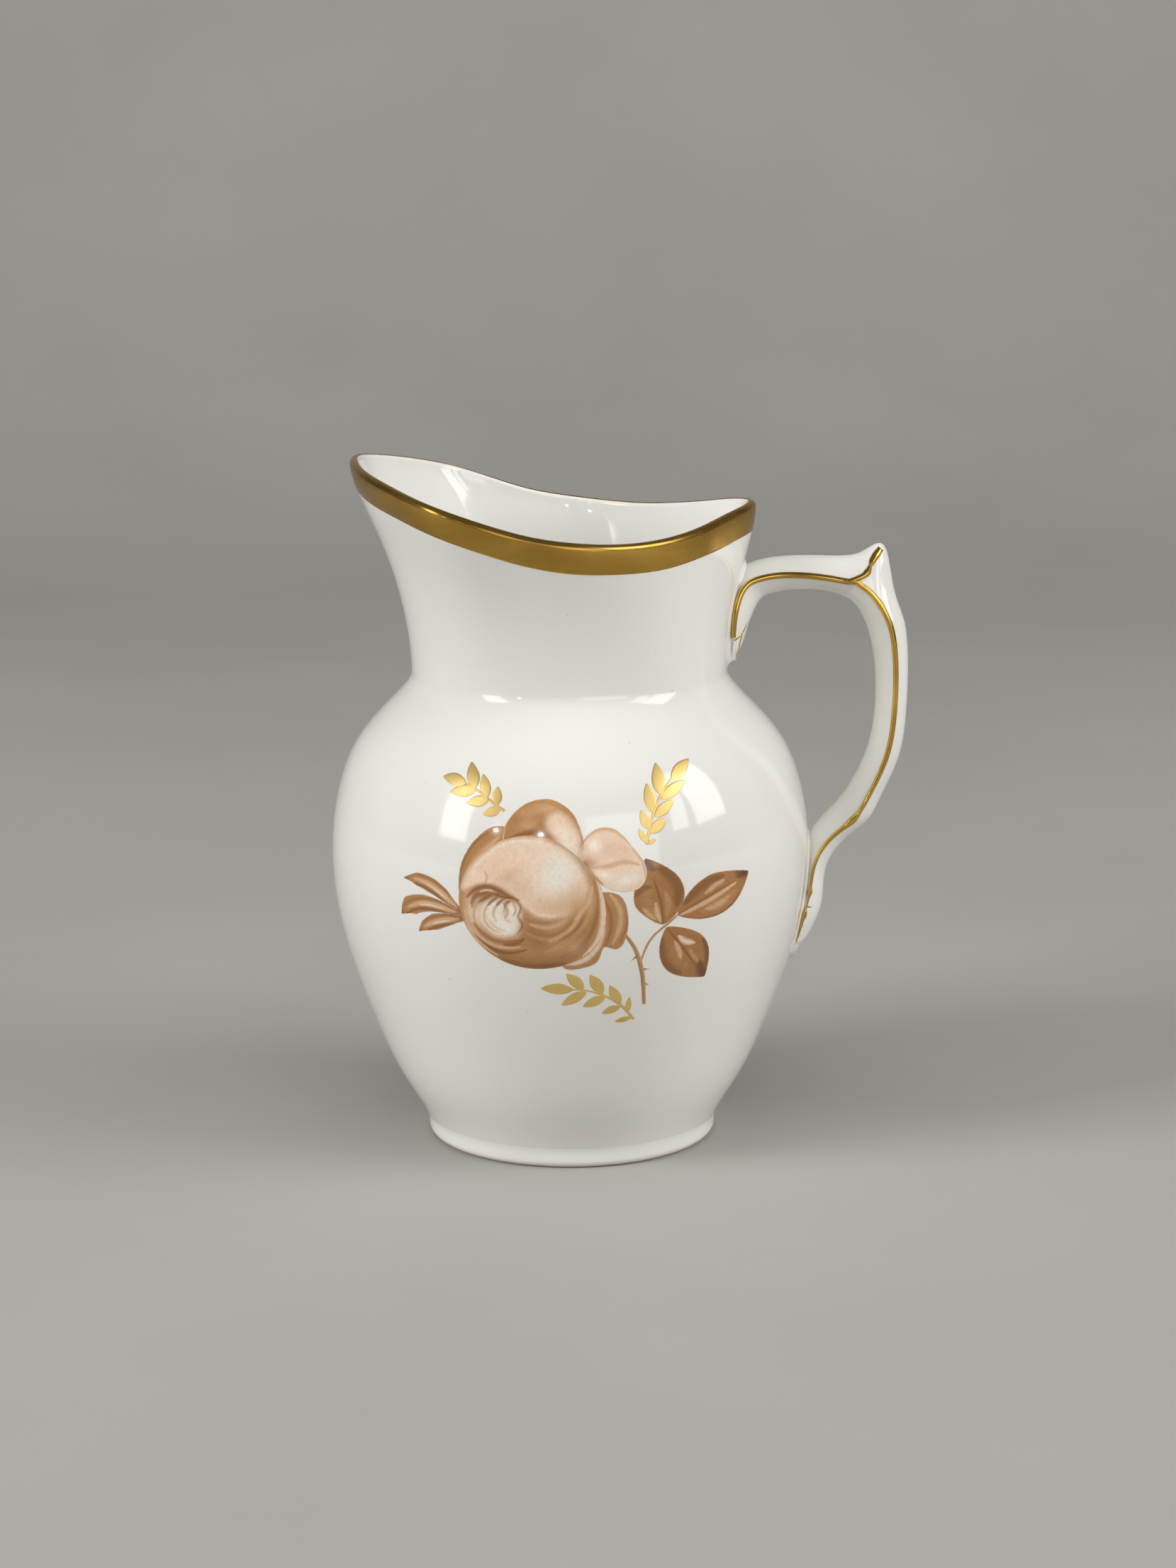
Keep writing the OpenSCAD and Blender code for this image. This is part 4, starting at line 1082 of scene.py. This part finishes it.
def build_painting(enamel, gold):
    build_sepals(enamel)
    build_stem(enamel)
    build_patch("rose_petal_left", [
        (-17.4, 48.6), (-17.8, 51.4), (-17.4, 54.4), (-15, 58.6), (-11.2, 60.8), (-8.4, 59.8), (-10, 56),
        (-13, 52)
    ], (-14, 55), 60, 0.025, enamel, CLAY, paint_left)
    build_patch("rose_under_petals", [
        (4.6, 50.6), (7.8, 50), (9.1, 46.6), (8.8, 43), (7.2, 41), (5.4, 41.4), (4.4, 39.4), (1.6, 37.9),
        (-1.2, 38), (-2, 41), (1, 46)
    ], (4.4, 44.6), 80, 0.025, enamel, CLAY, paint_under)
    build_leaves(enamel)
    build_patch("rose_petals_right", [
        (1, 56.6), (2.2, 59.2), (4.6, 60.7), (7, 60.4), (9.6, 57.9), (11.4, 55.6), (12.1, 53.2), (11.2, 51.2),
        (8.8, 50.4), (6.4, 50.8), (3.6, 52.6)
    ], (6.4, 55.4), 80, 0.04, enamel, rgb(226, 196, 168), paint_right)
    build_patch("rose_petal_top", [
        (-10.4, 57.6), (-10.5, 60.4), (-9, 62.8), (-6.2, 64.7), (-2.8, 65), (0.2, 63.2), (1.8, 60.2),
        (1.9, 56.8), (-0.6, 55.6), (-5, 57)
    ], (-4.4, 60.4), 80, 0.04, enamel, CLAY, paint_top)
    build_patch("rose_bloom", [
        (-17.8, 48.4), (-17.1, 52.4), (-14.6, 56.2), (-10.8, 58.6), (-6.6, 59.6), (-2.4, 58.8), (1.2, 56.2),
        (3.6, 53.6), (5.3, 49.8), (5.6, 46), (4.4, 42.4), (2, 40), (-1.4, 38.4), (-6, 37.8), (-10.6, 38.8),
        (-14, 41), (-16.6, 44.2)
    ], (-6, 48.4), 150, 0.055, enamel, CLAY, paint_bloom, edge_paint=TAN)
    build_sprays(gold)


# ---- stage ---------------------------------------------------------------------------------------

CAMERA_PLACE = (0, -0.5734, 0.1795)    # metres
CAMERA_TURNS = (11.8, 0.3, -0.25)      # pitch, yaw and roll in degrees
LENS, SENSOR = 80.07, 36               # millimetres
LIGHT_DISTANCE, MOUTH_FILL_DISTANCE = 1.3, 0.13


def build_camera():
    """The camera stands in front, a little above the jug, and looks slightly down on it."""
    pitch, yaw, roll = np.radians(CAMERA_TURNS)
    level = math.cos(pitch)
    ahead = np.array([math.sin(yaw) * level, math.cos(yaw) * level, -math.sin(pitch)])
    right = np.array([math.cos(yaw), -math.sin(yaw), 0])
    up = np.cross(right, ahead)
    turned_right = right * math.cos(roll) + up * math.sin(roll)
    turned_up = up * math.cos(roll) - right * math.sin(roll)
    axes = np.stack([turned_right, turned_up, -ahead], axis=1)
    data = bpy.data.cameras.new("camera")
    data.lens, data.sensor_width = LENS, SENSOR
    camera = bpy.data.objects.new("camera", data)
    camera.matrix_world = Matrix.Translation(CAMERA_PLACE) @ Matrix(axes.tolist()).to_4x4()
    bpy.context.scene.collection.objects.link(camera)
    bpy.context.scene.camera = camera


def softbox(name, azimuth, elevation, size, power, distance=LIGHT_DISTANCE, *, reflected):
    """A soft light aimed at the jug, which either lights it or is only seen reflected in it.

    Azimuth 0 is towards the camera.
    """
    a, e = math.radians(azimuth), math.radians(elevation)
    aim = Vector((0, 0, 0.06))
    away = Vector((math.sin(a) * math.cos(e), -math.cos(a) * math.cos(e), math.sin(e)))
    data = bpy.data.lights.new(name, "AREA")
    data.shape, data.size, data.size_y, data.energy = "RECTANGLE", *size, power
    light = bpy.data.objects.new(name, data)
    light.location = aim + away * distance
    light.rotation_euler = away.to_track_quat("Z", "Y").to_euler()
    light.visible_diffuse, light.visible_glossy = not reflected, reflected
    bpy.context.scene.collection.objects.link(light)


def build_stage():
    look = Look("stage_floor")
    tint = look.ramp(look.noise(9, 4), [(0.3, rgb(168, 166, 162)), (0.7, rgb(174, 172, 168))])
    look.set(Base_Color=tint, Roughness=0.75)
    size, back, rise, bend = 3.0, 0.6, 2.0, 0.5     # a floor that curves up behind, in metres
    rows = [(-size, 0.0), (back, 0.0)]
    for turn in np.radians(np.linspace(6, 90, 15)):
        rows.append((back + bend * math.sin(turn), bend * (1 - math.cos(turn))))
    rows += [(back + bend, rise)]
    points = [(x * 1000, y * 1000, z * 1000) for y, z in rows for x in (-size, size)]
    floor = smooth_object("stage_floor", points, grid_faces(len(rows), 2), look.material)
    world = bpy.data.worlds.new("studio")
    bpy.context.scene.world = world
    world.use_nodes = True
    ambient = world.node_tree.nodes["Background"].inputs
    ambient["Color"].default_value, ambient["Strength"].default_value = (1.0, 0.98, 0.94, 1), 0.17
    bpy.context.scene.view_settings.view_transform = "Standard"
    for light in (
        ("window_right", 70, 24, (0.74, 0.86), 10.5), ("window_left", -64, 22, (0.5, 0.62), 12),
        ("overhead", 0, 66, (1.0, 1.0), 5.6), ("fill_right", 56, 3, (0.6, 0.4), 1.4),
        ("mouth_fill", 0, 80, (0.06, 0.06), 0.012, MOUTH_FILL_DISTANCE),
    ):
        softbox(*light, reflected=False)
    for light in (
        ("shine_right", 73, 28, (0.42, 0.8), 3.8), ("shine_right_pane", 55, 26, (0.2, 0.7), 1.3),
        ("shine_left", -58, 23, (0.34, 0.74), 3), ("room_right", 25, 10, (0.8, 0.6), 2.4),
        ("spark_left", -36, 14, (0.05, 0.03), 0.3), ("spark_right", -14, 14, (0.05, 0.03), 0.3),
    ):
        softbox(*light, reflected=True)


build_camera()
build_stage()
porcelain = porcelain_material()
foot_bare_edge_and_highlight = bare_edge_and_painted_highlight_foot_material()
enamel = enamel_material()
band_tones = [rgb(180, 140, 62), rgb(190, 150, 70), rgb(202, 162, 78)]
line_tones = [rgb(190, 148, 66), rgb(208, 166, 78), rgb(222, 184, 94)]
spray_tones = [rgb(222, 190, 116), rgb(232, 200, 126), rgb(242, 212, 142)]
gold = gold_material("burnished_gold", band_tones, 0.24, grain=(0.5, 0.5, 1.5))
line_gold = gold_material("line_gold", line_tones, 0.15)
spray_gold = gold_material("spray_gold", spray_tones, 0.36, metal=0.75)
body = build_body(porcelain)
build_foot(foot_bare_edge_and_highlight)
handle = build_handle(porcelain)
handle_tree = tree_of([handle])
build_lute("upper_slip", "upper_lute", handle_tree, 79.8, 99.5, 18, 1.6, porcelain)
build_lute("lower_slip", "lower_lute", handle_tree, 28, 54, 12, 1.3, porcelain)
build_rim_gilding(gold)
standing_tree = tree_of([handle, body])
for side, face in ((-1, "front"), (1, "back")):
    build_handle_gilding(standing_tree, side, face, line_gold)
    build_thumb_gilding(standing_tree, side, face, line_gold)
build_painting(enamel, spray_gold)
